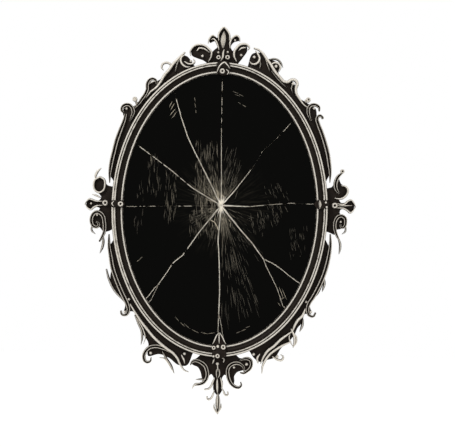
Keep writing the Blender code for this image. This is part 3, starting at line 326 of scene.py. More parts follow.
moulding = Shell()
profile = moulding_profile()
quirk_end = MOULDING_WIDTH - BEAD_RADIUS
rings = []
for step in range(MOULDING_STEPS):
    angle = math.tau * step / MOULDING_STEPS
    ring = []
    gilding = []
    speckled = SPECKLED_GILT * math.exp(-(((angle - SPECKLED_MIDDLE) / SPECKLED_SPREAD) ** 2))
    for outward, height, gilt in profile:
        spot = oval_point(angle, outward)
        sway = noise.noise(at(spot, height) * SWAYS_PER_METRE) * FACE_SWAY
        ring.append(at(spot, height + (sway if height > FACE_HEIGHT else 0.0)))
        in_quirk = quirk_end - BEAD_PITCH < outward < quirk_end and height > LEDGE_DEPTH
        gilding.append(max(gilt, speckled) if in_quirk else gilt)
    rings.append(moulding.add_points(ring, gilding))
moulding.join(rings, closed_rows=True)
moulding_run = moulding.piece("moulding_run", [ebonised_wood])
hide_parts("oval_moulding")


# The backing board: 3 mm hardboard, sawn to the oval and laid behind the glass. It is pressed
# wood fibre, so it is a flat tobacco brown flecked with paler and darker fibres. The solid's
# own shape is right, so only its finish is given here.

hardboard, tree, shader = new_material("Hardboard, pressed wood fibre")
shader.inputs["Roughness"].default_value = 0.85
place = put(tree, "TexCoord").outputs["Object"]
# Fibres 1.8 mm wide, coarser than real ones so that they show, and three times as long;
# stains of damp about 90 mm across
stretched = put(tree, "Mapping", {"Scale": (1.0, 1.0, 0.35)}, {"Vector": place})
fibres = put(
    tree, "TexNoise", {"Scale": 1 / 0.0018, "Detail": 5.0, "Roughness": 0.7}, {"Vector": stretched}
)
damp = put(tree, "TexNoise", {"Scale": 1 / 0.09, "Detail": 3.0}, {"Vector": place})
brown = put(
    tree, "Mix", {"data_type": "RGBA", 6: linear("#4a3220"), 7: linear("#8a6846")}, {0: fibres}
)
stained = put(tree, "MapRange", {1: 0.5, 2: 0.75, 4: 0.55}, {0: damp})
colour = put(tree, "Mix", {"data_type": "RGBA", 7: linear("#3a2616")}, {0: stained, 6: brown})
bump = put(tree, "Bump", {"Strength": 0.4, "Distance": 0.0003}, {"Height": fibres})
feed(tree, shader, {"Base Color": colour, "Normal": bump})
board_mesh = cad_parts["backing_board"].data
board_mesh.materials.clear()
board_mesh.materials.append(hardboard)


# The pane: 3 mm mirror glass whose silvering has gone black, in ten large shards and two
# slivers that still stand in the rebate. Its faces are polished and almost black. Where it
# broke, the edges are conchoidal: shallow, frosted scallops that catch the light as pale lines.

CRACK_GAP = 0.0002
CRUSH_RADIUS = 0.0058
EDGE_CLEARANCE = 0.001
CRACK_STEP = 0.0022
CRACK_WANDER = 0.00012
CHIP_DEPTH = 0.0009
RIM_STEPS = 300
RIM_MARGIN = 0.012
FRONT_INSET = 0.0003
TIP_GAP = 0.0011
TIP_INSET = 0.0006
# The scallops are widest at the blow and fall to their common width away from it; a tight
# stretch of a crack has next to none
BLOW_SCALLOP = 0.0013
BLOW_REACH = 0.028
SCALLOP_WIDTH = 0.0008
TIGHT_WIDTH = 0.00004
SCALLOP_CHANGE = 0.3
# A chip takes at most this share of the room that the shard has beside it
CHIP_SHARE = 0.42
PANE_BACK = LEDGE_DEPTH + BOARD_THICKNESS + SEAT_GAP
PANE_FRONT = PANE_BACK + GLASS_THICKNESS

# Corners of each crack, in thousandths of the opening's half width and half height
IMPACT = (16, 30)
CRACKS = {
    "top": ((10, 367), (5, 589), (5, 774), (5, 989)),
    "upper_right": ((156, 144), (250, 233), (328, 307), (432, 433), (583, 533), (740, 659)),
    "right": ((318, 26), (505, 41), (734, 56), (938, 52)),
    "fork_stem": ((89, -33), (214, -141), (344, -244), (464, -359)),
    "fork_upper": ((557, -389), (641, -426), (724, -474), (818, -522)),
    "fork_lower": ((495, -415), (547, -485), (615, -581), (672, -700)),
    "bottom": ((-10, -226), (5, -389), (16, -596), (10, -770)),
    "bottom_left": ((5, -893), (10, -963)),
    "bottom_right": ((36, -844), (52, -907), (68, -970)),
    "lower_left": (
        (-198, -159), (-323, -289), (-375, -341), (-474, -400), (-557, -493), (-620, -559),
    ),
    "lower_left_upper": ((-667, -593), (-729, -652)),
    "lower_left_lower": ((-656, -615), (-693, -674)),
    "left": ((-151, 26), (-307, 22), (-568, 19), (-938, 11)),
    "upper_left": ((-125, 89), (-292, 159), (-490, 274), (-661, 363), (-849, 459)),
    "steep_left": ((-161, 278), (-266, 419), (-344, 533), (-417, 681), (-490, 859)),
}
# How wide each crack's frosted scallops are, against the widest
BOLDNESS = {
    "top": 0.6,
    "upper_right": 0.5,
    "right": 0.5,
    "fork_stem": 1.0,
    "fork_upper": 0.8,
    "fork_lower": 0.7,
    "bottom": 1.0,
    "bottom_left": 0.7,
    "bottom_right": 0.5,
    "lower_left": 0.95,
    "lower_left_upper": 0.7,
    "lower_left_lower": 0.45,
    "left": 0.45,
    "upper_left": 0.75,
    "steep_left": 1.0,
}
# The stretches that are frosted, in millimetres from the blow, on the cracks that are tight
# and dark between them
FROSTED = {
    "steep_left": ((0, 231),),
    "upper_left": ((0, 80), (86, 98), (102, 141), (146, 169), (174, 201)),
    "lower_left": ((0, 110), (119, 151), (155, 210)),
    "top": ((0, 155), (165, 173), (183, 195), (199, 216), (229, 246)),
    "upper_right": ((0, 92), (132, 137), (172, 178), (192, 214)),
    "right": ((0, 57), (60, 86), (94, 122), (132, 148), (170, 184)),
    "left": ((58, 73), (80, 86), (132, 142), (152, 156), (160, 163), (168, 188)),
}
SHARDS = {
    "shard_top_right": (("upper_right",), ("top",)),
    "shard_top_left": (("top",), ("steep_left",)),
    "shard_upper_left": (("steep_left",), ("upper_left",)),
    "shard_left_upper": (("upper_left",), ("left",)),
    "shard_left_lower": (("left",), ("lower_left", "lower_left_upper")),
    "shard_bottom_left": (("lower_left", "lower_left_lower"), ("bottom", "bottom_left")),
    "shard_bottom_right": (("bottom", "bottom_right"), ("fork_stem", "fork_lower")),
    "shard_right_lower": (("fork_stem", "fork_upper"), ("right",)),
    "shard_right_upper": (("right",), ("upper_right",)),
    "shard_fork": (("fork_lower",), ("fork_upper",)),
    "sliver_bottom": (("bottom_left",), ("bottom_right",)),
    "sliver_lower_left": (("lower_left_upper",), ("lower_left_lower",)),
}
STEMS = {
    "fork_upper": "fork_stem",
    "fork_lower": "fork_stem",
    "bottom_left": "bottom",
    "bottom_right": "bottom",
    "lower_left_upper": "lower_left",
    "lower_left_lower": "lower_left",
}


def pane_point(across, up):
    """A place in thousandths of the opening's half width and half height."""
    return Vector((OPENING_HALF_WIDTH * across, OPENING_HALF_HEIGHT * up)) / 1000


impact = pane_point(*IMPACT)
rim_outward = REBATE_WIDTH - EDGE_CLEARANCE


def rim_angle(point):
    """How far round the oval a point lies."""
    return math.atan2(point.y / OPENING_HALF_HEIGHT, point.x / OPENING_HALF_WIDTH)


def left_of(way):
    """The way turned a quarter to its left."""
    return Vector((-way.y, way.x))


def crack_path(name):
    """The crack's finely broken course, and the scallop width on each of its two sides."""
    stem = STEMS.get(name)
    corners = [pane_point(*corner) for corner in CRACKS[name]]
    corners.insert(0, pane_point(*CRACKS[stem][-1]) if stem else impact)
    if name not in STEMS.values():
        corners.append(oval_point(rim_angle(corners[-1]), rim_outward))
    draw = random.Random(name)
    path = []
    for corner, following in zip(corners, corners[1:]):
        span = following - corner
        across = left_of(span).normalized()
        count = max(2, round(span.length / CRACK_STEP))
        for i in range(count):
            wander = draw.uniform(-CRACK_WANDER, CRACK_WANDER) if i else 0.0
            path.append(corner + span * i / count + across * wander)
    path.append(corners[-1])
    stretches = FROSTED.get(name, ((0, 1000),))
    scallops = ([], [])
    for side in scallops:
        scallop = draw.uniform(0.8, 1.0)
        for point in path:
            away = (point - impact).length
            if draw.random() < SCALLOP_CHANGE:
                scallop = draw.uniform(0.7, 1.15)
            frosted = any(low <= away * 1000 <= high for low, high in stretches)
            near = BLOW_SCALLOP * math.exp(-away / BLOW_REACH)
            width = near + SCALLOP_WIDTH * BOLDNESS[name]
            side.append(width * scallop if frosted else TIGHT_WIDTH)
    return path, scallops


crack_paths = {name: crack_path(name) for name in CRACKS}


def chained(names, side):
    """The course of a chain of cracks, with the scallops on the side that the shard is on."""
    points = []
    widths = []
    for name in names:
        path, scallops = crack_paths[name]
        joined = 1 if points else 0
        points += path[joined:]
        widths += scallops[side][joined:]
    return points, widths


def beside(line, offsets):
    """The line moved sideways, to its left where the offset is positive."""
    moved = []
    for i, point in enumerate(line):
        before = (point - line[max(i - 1, 0)]).normalized()
        after = (line[min(i + 1, len(line) - 1)] - point).normalized()
        along = (before + after).normalized()
        stretch = 1 / max(along.dot(after if i == 0 else before), 0.5)
        moved.append(point + left_of(along) * offsets[i] * stretch)
    return moved


def shard_outlines(start, chains, crushed):
    """The wall and the scalloped front edge of a shard, of equal count, turning anticlockwise."""
    (first_line, first_widths), (second_line, second_widths) = (
        chained(names, side) for side, names in enumerate(chains)
    )
    first_way = (first_line[1] - start).normalized()
    second_way = (second_line[1] - start).normalized()
    half_opening = first_way.angle(second_way) / 2
    inner = CRUSH_RADIUS if crushed else TIP_GAP / math.sin(half_opening)
    outlines = []
    for scalloped in (0, 1):
        lines = []
        for line, widths, sign in ((first_line, first_widths, 1), (second_line, second_widths, -1)):
            offsets = []
            for point, width in zip(line, widths):
                room = max((point - start).length - inner * 0.4, 0.0) * math.sin(half_opening)
                chip = min(width, CHIP_SHARE * room) * scalloped
                offsets.append(sign * (CRACK_GAP / 2 + chip))
            moved = beside(line, offsets)
            clear = [(point - start).length > inner for point in line]
            lines.append([point for point, is_clear in zip(moved, clear) if is_clear])
        first, second = lines
        middle = (first_way + second_way).normalized()
        reach = inner * (1.12 if crushed else 1.0) + TIP_INSET * scalloped
        tip = start + middle * reach
        step = math.tau / RIM_STEPS
        rim_start = rim_angle(first_line[-1])
        rim_end = rim_angle(second_line[-1])
        if rim_end < rim_start:
            rim_end += math.tau
        low = math.ceil((rim_start + RIM_MARGIN) / step)
        high = math.floor((rim_end - RIM_MARGIN) / step)
        rim = [
            oval_point(k * step, rim_outward - FRONT_INSET * scalloped)
            for k in range(low, high + 1)
        ]
        outlines.append([tip, *first, *rim, *reversed(second)])
    return outlines


def glass_finish():
    """Blackened mirror: nearly black polished glass, hazed in streaks that fan from the blow."""
    material, tree, shader = new_material("Blackened mirror glass")
    shader.inputs["Specular IOR Level"].default_value = 0.03
    place = put(tree, "TexCoord").outputs["Object"]
    centred = put(tree, "VectorMath", {"operation": "SUBTRACT", 1: at(impact, 0.0)}, {0: place})
    axes = put(tree, "SeparateXYZ", links={0: centred})
    turn = put(tree, "Math", {"operation": "ARCTAN2"}, {0: axes.outputs[0], 1: axes.outputs[2]})
    away = put(tree, "VectorMath", {"operation": "LENGTH"}, {0: centred})
    # about 130 streaks round the circle, each 40 mm long
    round_blow = put(tree, "Math", {"operation": "MULTIPLY", 1: 21.0}, {0: turn})
    outward = put(tree, "Math", {"operation": "MULTIPLY", 1: 1 / 0.040}, {0: away})
    fan = put(tree, "CombineXYZ", links={0: round_blow, 1: outward})
    streaks = put(
        tree, "TexNoise", {"Scale": 1.0, "Detail": 4.0, "Roughness": 0.65}, {"Vector": fan}
    )
    # clouds of dirt 60 mm across; the haze fades from 12 to 110 mm out
    clouds = put(tree, "TexNoise", {"Scale": 1 / 0.06, "Detail": 4.0}, {"Vector": place})
    fade = put(tree, "MapRange", {1: 0.012, 2: 0.11, 3: 1.0, 4: 0.0}, {0: away})
    haze = put(tree, "MapRange", {1: 0.5, 2: 0.75, 3: 0.0, 4: 1.0}, {0: streaks})
    cloudy = put(tree, "Math", {"operation": "MULTIPLY"}, {0: haze, 1: clouds})
    dusty = put(tree, "Math", {"operation": "MULTIPLY"}, {0: cloudy, 1: fade})
    colour = put(
        tree, "Mix", {"data_type": "RGBA", 6: linear("#040403"), 7: linear("#4a453b")}, {0: dusty}
    )
    roughness = put(tree, "MapRange", {1: 0.0, 2: 0.6, 3: 0.08, 4: 0.45}, {0: dusty})
    # old drawn glass ripples about every 50 mm
    ripple = put(tree, "TexNoise", {"Scale": 1 / 0.05, "Detail": 1.0}, {"Vector": place})
    bump = put(tree, "Bump", {"Strength": 0.15, "Distance": 0.0004}, {"Height": ripple})
    feed(tree, shader, {"Base Color": colour, "Roughness": roughness, "Normal": bump})
    return material


def fracture_finish(name, pale_hex, grey_hex, break_size):
    """Broken glass: white where the fracture is frosted, greyer where it is smooth.

    Both vary at the size of the breaks, and ribs half as large again roughen the surface.
    """
    material, tree, shader = new_material(name)
    shader.inputs["IOR"].default_value = 1.52
    place = put(tree, "TexCoord").outputs["Object"]
    frost = put(
        tree,
        "TexNoise",
        {"Scale": 1 / break_size, "Detail": 4.0, "Roughness": 0.7},
        {"Vector": place},
    )
    ribs = put(tree, "TexVoronoi", {"Scale": 1 / (break_size * 1.6)}, {"Vector": place})
    share = put(tree, "MapRange", {1: 0.42, 2: 0.66}, {0: frost})
    colour = put(
        tree, "Mix", {"data_type": "RGBA", 6: linear(pale_hex), 7: linear(grey_hex)}, {0: share}
    )
    roughness = put(tree, "MapRange", {3: 0.25, 4: 0.6}, {0: frost})
    bump = put(tree, "Bump", {"Strength": 0.6, "Distance": 0.0004}, {"Height": ribs})
    feed(tree, shader, {"Base Color": colour, "Roughness": roughness, "Normal": bump})
    return material


mirror_glass = glass_finish()
frosted_edge = fracture_finish("Frosted fracture of glass", "#e8e2d6", "#a39c8c", 0.0016)

for name, chains in SHARDS.items():
    stem = STEMS.get(chains[0][0]) if len(chains[0]) == 1 else None
    start = pane_point(*CRACKS[stem][-1]) if stem else impact
    wall, edge = shard_outlines(start, chains, stem is None)
    draw = random.Random(name + " depth")
    depths = [CHIP_DEPTH * draw.uniform(0.5, 1.3) for point in wall]
    shard = Shell()
    back = shard.add_points([at(point, PANE_BACK) for point in wall])
    side = shard.add_points([at(point, PANE_FRONT - depth) for point, depth in zip(wall, depths)])
    front = shard.add_points([at(point, PANE_FRONT) for point in edge])
    shard.join([back, side, front], finish=1)
    shard.add_face(back)
    shard.add_face(front)
    piece = shard.piece(name + "_glass", [mirror_glass, frosted_edge], 12)
    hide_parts(name)


# The blow: the glass at the point of impact is crushed to a powdery white star that is still
# held between the tips of the shards, with splinters of glass wedged outward from it.

STAR_RINGS = 7
STAR_SIDES = 96
CORE_EDGE = 0.0009
CORE_HEIGHT = 0.0022
CORE_GRIT = 0.0003
ARM_LENGTH = 0.6
ARM_SPREAD = 0.16
SPLINTERS = 78
SPLINTER_LIFT = 0.00005
SPLINTER_TILT = 0.0002
# The splinters fan out above and below the blow, with short ones all round it: from and to in
# degrees, then shortest and longest in metres
SPLINTER_FANS = ((62, 124, 0.006, 0.02), (-122, -46, 0.006, 0.022), (-180, 180, 0.003, 0.008))


def towards(turn):
    """The way that lies this far round, anticlockwise from the right."""
    return Vector((math.cos(turn), math.sin(turn)))


powder = fracture_finish("Crushed glass", "#fffaf0", "#e4dccd", 0.0007)
core = Shell()
draw = random.Random("crushed star")
crack_ways = []
for name in CRACKS:
    if name not in STEMS:
        way = crack_paths[name][0][6] - impact
        crack_ways.append(math.atan2(way.y, way.x))
rows = []
for ring in range(STAR_RINGS):
    share = 1 - ring / STAR_RINGS
    points = []
    for i in range(STAR_SIDES):
        turn = math.tau * i / STAR_SIDES
        ragged = 0.8 + 0.16 * noise.noise(Vector((math.cos(turn) * 3, math.sin(turn) * 3, 4.0)))
        for way in crack_ways:
            aside = math.remainder(turn - way, math.tau) / ARM_SPREAD
            ragged += ARM_LENGTH * math.exp(-(aside**2))
        radius = (CRUSH_RADIUS - CRACK_GAP) * 0.9 * share * ragged
        height = PANE_BACK + CORE_EDGE
        if ring:
            height = PANE_BACK + CORE_HEIGHT * (0.35 + 0.75 * (1 - share**2))
            height += draw.uniform(-CORE_GRIT, CORE_GRIT)
        points.append(at(impact + towards(turn) * radius, height))
    rows.append(core.add_points(points, 1.0))
foot = [Vector((core.points[i].x, -PANE_BACK, core.points[i].z)) for i in rows[0]]
core.loft([core.add_points(foot, 1.0), *rows])


def splinter(shell, foot, turn, length, width, height):
    """A long three-sided sliver of glass lying along `turn`, its point outward."""
    along = towards(turn)
    across = left_of(along)
    blunt = [
        at(foot - across * width / 2, height),
        at(foot + across * width / 2, height),
        at(foot + along * length * 0.12, height + width * 0.8 + SPLINTER_TILT),
    ]
    middle = foot + along * length * 0.45
    waist = [
        at(middle - across * width * 0.36, height),
        at(middle + across * width * 0.36, height),
        at(middle, height + width * 0.55 + SPLINTER_TILT * 0.6),
    ]
    point = at(foot + along * length, height + 0.0001)
    rows = [shell.add_points(blunt, 1.0), shell.add_points(waist, 1.0)]
    end = shell.add_points([point], 1.0)[0]
    shell.join(rows)
    shell.add_face(rows[0])
    for i in range(3):
        shell.add_face((rows[1][i], rows[1][(i + 1) % 3], end))


for i in range(SPLINTERS):
    low, high, shortest, longest = SPLINTER_FANS[i % 3]
    turn = math.radians(draw.uniform(low, high))
    reach = draw.uniform(0.001, 0.0055)
    length = draw.uniform(shortest, longest)
    width = draw.uniform(0.0007, 0.0015)
    foot = impact + towards(turn) * reach
    splinter(core, foot, turn, length, width, PANE_FRONT + SPLINTER_LIFT)
crushed_star = core.piece("crushed_star", [powder], 20)
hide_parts("crushed_glass")


# Hackle and scuffs: the shock left fine grey hackle lines in the glass round the blow, and old
# cleaning has scuffed the face in upright patches. Each is a hair-thin raised burr on the
# surface, drawn about 0.4 mm wide so that it shows.

BURR_HEIGHT = 0.00012
BURR_STEPS = 5
BURR_FOOT = PANE_FRONT + 0.00002
SCRATCH_WIDTH = 0.0009
LIP_MARGIN = 0.003


def burr(shell, start, turn, length, width, bend, tone):
    """A thin tapering line on the face of the glass, as pale as `tone` says."""
    heading = turn
    point = start
    rows = []
    for i in range(BURR_STEPS + 1):
        along = towards(heading)
        swelling = 0.25 + 0.75 * math.sin(math.pi * (i / BURR_STEPS))
        across = left_of(along) * width / 2 * swelling
        ring = [
            at(point - across, BURR_FOOT),
            at(point + across, BURR_FOOT),
            at(point, BURR_FOOT + BURR_HEIGHT),
        ]
        rows.append(shell.add_points(ring, tone))
        point = point + along * length / BURR_STEPS
        heading += bend / BURR_STEPS
    shell.loft(rows)


def from_centre(right, down):
    """A place given in millimetres right of and below the oval's centre."""
    return Vector((right, -down)) / 1000


# Patches of upright scuffs: left, top, right and bottom edges in millimetres from the oval's
# centre, the lean of the strokes from upright in degrees, how many, their length in
# millimetres and how pale they are
PATCHES = (
    (-52, -140, -6, -14, 3, 130, 26, 0.50),
    (-40, -70, 6, -6, 4, 90, 22, 0.85),
    (-146, -112, -116, -36, 2, 34, 20, 0.45),
    (-110, -82, -86, 12, 2, 44, 22, 0.46),
    (-60, -8, -8, 46, 6, 60, 18, 0.55),
    (62, -4, 90, 46, 8, 30, 16, 0.34),
    (88, -56, 136, 24, 20, 44, 16, 0.34),
    (140, 26, 174, 88, 6, 32, 16, 0.3),
    (-170, -60, -150, 40, 2, 16, 18, 0.30),
    (8, -130, 40, -30, -14, 40, 24, 0.35),
)
# Single scratches, each from (right, down) to (right, down) in millimetres from the oval's
# centre, with how pale it is: five strokes high on the left, a broken upright line beside them,
# faint pairs high on the right, nicks low on the left, an arc of rubbing along the foot, a few
# splinter marks beside the forked crack low on the right, and round the blow a curved chip line
# from the lower left crack to the bottom one, a short bridge above it and gouges below it
SCRATCHES = (
    (-104, -202, -98, -214, 0.9), (-101, -197, -93, -210, 1.0), (-102, -186, -92, -200, 0.9),
    (-95, -185, -89, -194, 0.6), (-99, -180, -91, -188, 0.6),
    (-54, -223, -52, -214, 0.45), (-53, -211, -51, -202, 0.5), (-51, -198, -50, -191, 0.4),
    (23, -236, 33, -231, 0.35), (34, -231, 44, -226, 0.35), (27, -230, 37, -226, 0.3),
    (33, -215, 39, -211, 0.35), (42, -210, 49, -205, 0.5),
    (-163, 106, -157, 102, 0.6), (-158, 102, -152, 97, 0.5),
    (-85, 215, -77, 224, 0.45), (-75, 226, -65, 234, 0.5), (-67, 228, -55, 239, 0.4),
    (-51, 240, -37, 246, 0.5), (-33, 245, -19, 249, 0.55), (-19, 248, -5, 245, 0.5),
    (37, 246, 47, 242, 0.35), (48, 241, 57, 237, 0.5), (56, 235, 65, 231, 0.4),
    (121, 152, 131, 175, 0.7), (127, 156, 137, 177, 0.6), (123, 178, 132, 173, 0.7),
    (119, 183, 125, 191, 0.5),
    (-18.5, 20.5, -8.5, 26.5, 1.9), (-10.5, 24.5, -4, 33.5, 1.9), (-5.5, 30.5, -2, 42, 1.9),
    (2.8, -30.5, 12.9, -21.9, 1.5), (-8.1, -43, -0.8, -20, 1.3), (3.6, 15.7, 7.4, 22, 1.3),
    (11, 18, 16.3, 30.5, 0.8), (17.9, 18, 22.5, 25.5, 0.9), (22.5, 25.5, 22, 35.5, 0.7),
    (-8.9, 16, -9.4, 24, 1.0), (5, 25.5, 6.4, 33, 0.7),
)
# Fans of hackle below the blow, and thinner ones above it: from and to in degrees, how many,
# the nearest and farthest from the blow and the longest line in metres, and how pale they are
HACKLE_FANS = (
    (-89, -68, 150, 0.014, 0.215, 0.034, 0.5),
    (-68, -48, 50, 0.014, 0.12, 0.022, 0.42),
    (-108, -91, 36, 0.014, 0.08, 0.022, 0.5),
    (-50, -20, 26, 0.014, 0.07, 0.018, 0.4),
    (95, 160, 110, 0.01, 0.06, 0.022, 0.62),
    (55, 88, 60, 0.012, 0.07, 0.022, 0.5),
    (190, 240, 70, 0.01, 0.06, 0.022, 0.55),
)
pale_scuffs = Shell()
draw = random.Random("scuffs")


def inside_pane(point, margin):
    """Whether a place on the glass is clear of the lip by this much."""
    across = point.x / (OPENING_HALF_WIDTH - margin)
    up = point.y / (OPENING_HALF_HEIGHT - margin)
    return across**2 + up**2 < 1


def scuff(shell, start, turn, length, width, bend, tone):
    """A burr, left out where it would run under the lip."""
    end = start + towards(turn) * length
    if inside_pane(start, LIP_MARGIN) and inside_pane(end, LIP_MARGIN):
        burr(shell, start, turn, length, width, bend, tone)


for left, top, right, bottom, lean, count, length, tone in PATCHES:
    for i in range(count):
        start = from_centre(draw.uniform(left, right), draw.uniform(top, bottom))
        turn = math.radians(-90 + lean + draw.gauss(0, 4))
        scuff(
            pale_scuffs,
            start,
            turn,
            draw.uniform(0.35, 1.0) * length / 1000,
            draw.uniform(0.00025, 0.0005),
            draw.gauss(0, 0.06),
            tone * draw.uniform(0.6, 1.1),
        )
for right, down, end_right, end_down, tone in SCRATCHES:
    start = from_centre(right, down)
    way = from_centre(end_right, end_down) - start
    turn = math.atan2(way.y, way.x)
    width = SCRATCH_WIDTH * max(1.0, tone)
    scuff(pale_scuffs, start, turn, way.length, width, draw.gauss(0, 0.1), tone)
for low, high, count, nearest, farthest, longest, tone in HACKLE_FANS:
    for i in range(count):
        turn = math.radians(draw.uniform(low, high))
        share = draw.random()
        reach = nearest + (farthest - nearest) * share**1.3
        start = impact + towards(turn) * reach
        scuff(
            pale_scuffs,
            start,
            turn + draw.gauss(0, 0.025),
            draw.uniform(0.3, 1.0) * longest,
            draw.uniform(0.00025, 0.00048),
            draw.gauss(0, 0.04),
            tone * draw.uniform(0.6, 1.1) * (1.15 - 0.6 * share),
        )


def scuff_finish():
    """Scuffed glass: grey to olive-grey, paler where the mark on the point is higher."""
    material, tree, shader = new_material("Scuffed glass")
    shader.inputs["Roughness"].default_value = 0.6
    place = put(tree, "TexCoord").outputs["Object"]
    # dust breaks the strokes up at about 2 mm
    speckle = put(tree, "TexNoise", {"Scale": 1 / 0.002, "Detail": 3.0}, {"Vector": place})
    mark = put(tree, "Attribute", {"attribute_name": "gilt"}).outputs["Fac"]
    tone = put(tree, "Math", {"operation": "MULTIPLY"}, {0: mark, 1: speckle})
    share = put(tree, "MapRange", {1: 0.05, 2: 0.5}, {0: tone})
    colour = put(
        tree, "Mix", {"data_type": "RGBA", 6: linear("#16150f"), 7: linear("#b5aa94")}, {0: share}
    )
    feed(tree, shader, {"Base Color": colour})
    return material


scuffs = pale_scuffs.piece("hackle_and_scuffs", [scuff_finish()], 60)


# The retaining clips: 1.2 mm zinc-plated spring steel, sheared to length, bowed a little so
# that they press the board, and held by round-head steel screws driven into the ledge.

CLIP_ANGLES = (0, 55, 125, 180, 235, 305)
CLIP_LENGTH = 0.020
CLIP_WIDTH = 0.009
CLIP_THICKNESS = 0.0012
SCREW_RADIUS = 0.0012
SCREW_HEAD_RADIUS = 0.0024
SCREW_HEAD_HEIGHT = 0.0010
SCREW_LENGTH = 0.0075
SCREW_SIDES = 32
THREAD_TURNS = 6
THREAD_START = 0.0006
THREADED_SHARE = 0.8
THREAD_ROOT = 0.78
POINT_SHARE = 0.12
SLOT_HALF_WIDTH = 0.00035
SLOT_DEPTH = 0.0006
HEAD_RIM = 0.0004
CLIP_EDGE = 0.0002
CLIP_BOW = 0.0009


def steel_finish(name, bright_hex, dull_hex, roughness, spangle):
    """Plated steel: grey metal, mottled in spangles of this size, with dull brown specks."""
    material, tree, shader = new_material(name)
    shader.inputs["Metallic"].default_value = 1.0
    place = put(tree, "TexCoord").outputs["Object"]
    spangles = put(tree, "TexVoronoi", {"Scale": 1 / spangle}, {"Vector": place})
    specks = put(tree, "TexNoise", {"Scale": 1 / (spangle * 0.4), "Detail": 4.0}, {"Vector": place})
    base = put(
        tree,
        "Mix",
        {"data_type": "RGBA", 6: linear(bright_hex), 7: linear(dull_hex)},
        {0: put(tree, "SeparateColor", links={0: spangles.outputs["Color"]})},
    )
    rust = put(tree, "MapRange", {1: 0.62, 2: 0.74}, {0: specks})
    colour = put(tree, "Mix", {"data_type": "RGBA", 7: linear("#6b4a32")}, {0: rust, 6: base})
    spread = put(tree, "MapRange", {3: roughness - 0.08, 4: roughness + 0.2}, {0: specks})
    bump = put(tree, "Bump", {"Strength": 0.2, "Distance": 0.0002}, {"Height": specks})
    feed(tree, shader, {"Base Color": colour, "Roughness": spread, "Normal": bump})
    return material


plated_steel = steel_finish("Zinc-plated spring steel", "#b9b7b0", "#8f8c84", 0.35, 0.003)
screw_steel = steel_finish("Bright steel screw", "#a8a6a0", "#7c7a74", 0.3, 0.002)


def plate(shell, outline, back, front, edge, bow):
    """A plate with its edges eased by `edge`, bowed as a function of the place says."""
    centre = sum(outline, Vector((0.0, 0.0))) / len(outline)
    eased = []
    for i, point in enumerate(outline):
        before = (point - outline[i - 1]).normalized()
        after = (outline[(i + 1) % len(outline)] - point).normalized()
        along = (before + after).normalized()
        inward = left_of(along)
        if inward.dot(centre - point) < 0:
            inward = -inward
        eased.append(point + inward * edge)
    layers = ((eased, back), (outline, back + edge), (outline, front - edge), (eased, front))
    rows = []
    for line, height in layers:
        rows.append(shell.add_points([at(point, height + bow(point)) for point in line]))
    shell.loft(rows)


def screw(name, centre, seat):
    """A slotted round-head screw, its head behind `seat` and its shank running forward."""
    shell = Shell()
    dome = [
        (SCREW_HEAD_RADIUS * math.cos(a), seat - SCREW_HEAD_HEIGHT * math.sin(a))
        for a in np.radians((0, 22, 45, 66, 82))
    ]
    shank = [(SCREW_RADIUS, seat)]
    for i in range(THREAD_TURNS * 2 + 1):
        along = (SCREW_LENGTH * THREADED_SHARE) * i / (THREAD_TURNS * 2)
        radius = SCREW_RADIUS * (THREAD_ROOT if i % 2 else 1.0)
        shank.append((radius, seat + THREAD_START + along))
    shank.append((SCREW_RADIUS * POINT_SHARE, seat + SCREW_LENGTH))
    rows = []
    for radius, height in [*reversed(dome), *shank]:
        ring = []
        for i in range(SCREW_SIDES):
            offset = towards(math.tau * i / SCREW_SIDES) * radius
            in_slot = abs(offset.y) < SLOT_HALF_WIDTH and height < seat - HEAD_RIM
            ring.append(at(centre + offset, height + (SLOT_DEPTH if in_slot else 0.0)))
        rows.append(shell.add_points(ring))
    shell.loft(rows)
    made = shell.piece(name + "_slotted", [screw_steel], 30)
    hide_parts(name)


clip_outer = REBATE_WIDTH + LEDGE_WIDTH - EDGE_CLEARANCE / 2
clip_front = LEDGE_DEPTH - SEAT_GAP
for number, degrees in enumerate(CLIP_ANGLES, 1):
    angle = math.radians(degrees)
    normal = oval_normal(angle)
    tangent = left_of(normal)
    foot = oval_point(angle, 0.0)
    centre = oval_point(angle, REBATE_WIDTH + LEDGE_WIDTH / 2)
    nose = clip_outer - CLIP_LENGTH + CLIP_WIDTH / 2
    outline = [
        foot
        + normal * (nose - CLIP_WIDTH / 2 * math.sin(a))
        + tangent * CLIP_WIDTH / 2 * math.cos(a)
        for a in np.linspace(0, math.pi, 17)
    ]
    outline += [
        foot + normal * clip_outer - tangent * CLIP_WIDTH / 2,
        foot + normal * clip_outer + tangent * CLIP_WIDTH / 2,
    ]
    clip = Shell()

    def bowed(point):
        """The clip's free nose lifts off the board a little."""
        reach = (centre - point).dot(normal) / CLIP_LENGTH
        return -CLIP_BOW * max(0.0, min(1.0, reach)) ** 2

    plate(clip, outline, clip_front - CLIP_THICKNESS, clip_front, CLIP_EDGE, bowed)
    made = clip.piece(f"spring_clip_{number}", [plated_steel], 25)
    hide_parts(f"retaining_clip_{number}")
    screw(f"clip_screw_{number}", centre, clip_front - CLIP_THICKNESS - SEAT_GAP)


# The keyhole plate: 1.5 mm zinc-plated steel, punched with a keyhole for the wall screw, let
# into the back of the moulding at 12 o'clock and held by two screws.

HANGER_WIDTH = 0.018
HANGER_SINK = 0.0002
HANGER_THICKNESS = 0.0015
KEYHOLE_RADIUS = 0.0045
KEYHOLE_SLOT_RADIUS = 0.0022
KEYHOLE_RISE = 0.0075
KEYHOLE_DROP = 0.018
PLATE_SIDES = 180

hanger_low, hanger_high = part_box("hanger_plate")
keyhole_centre = Vector((0.0, hanger_high.z - KEYHOLE_DROP - KEYHOLE_RISE))


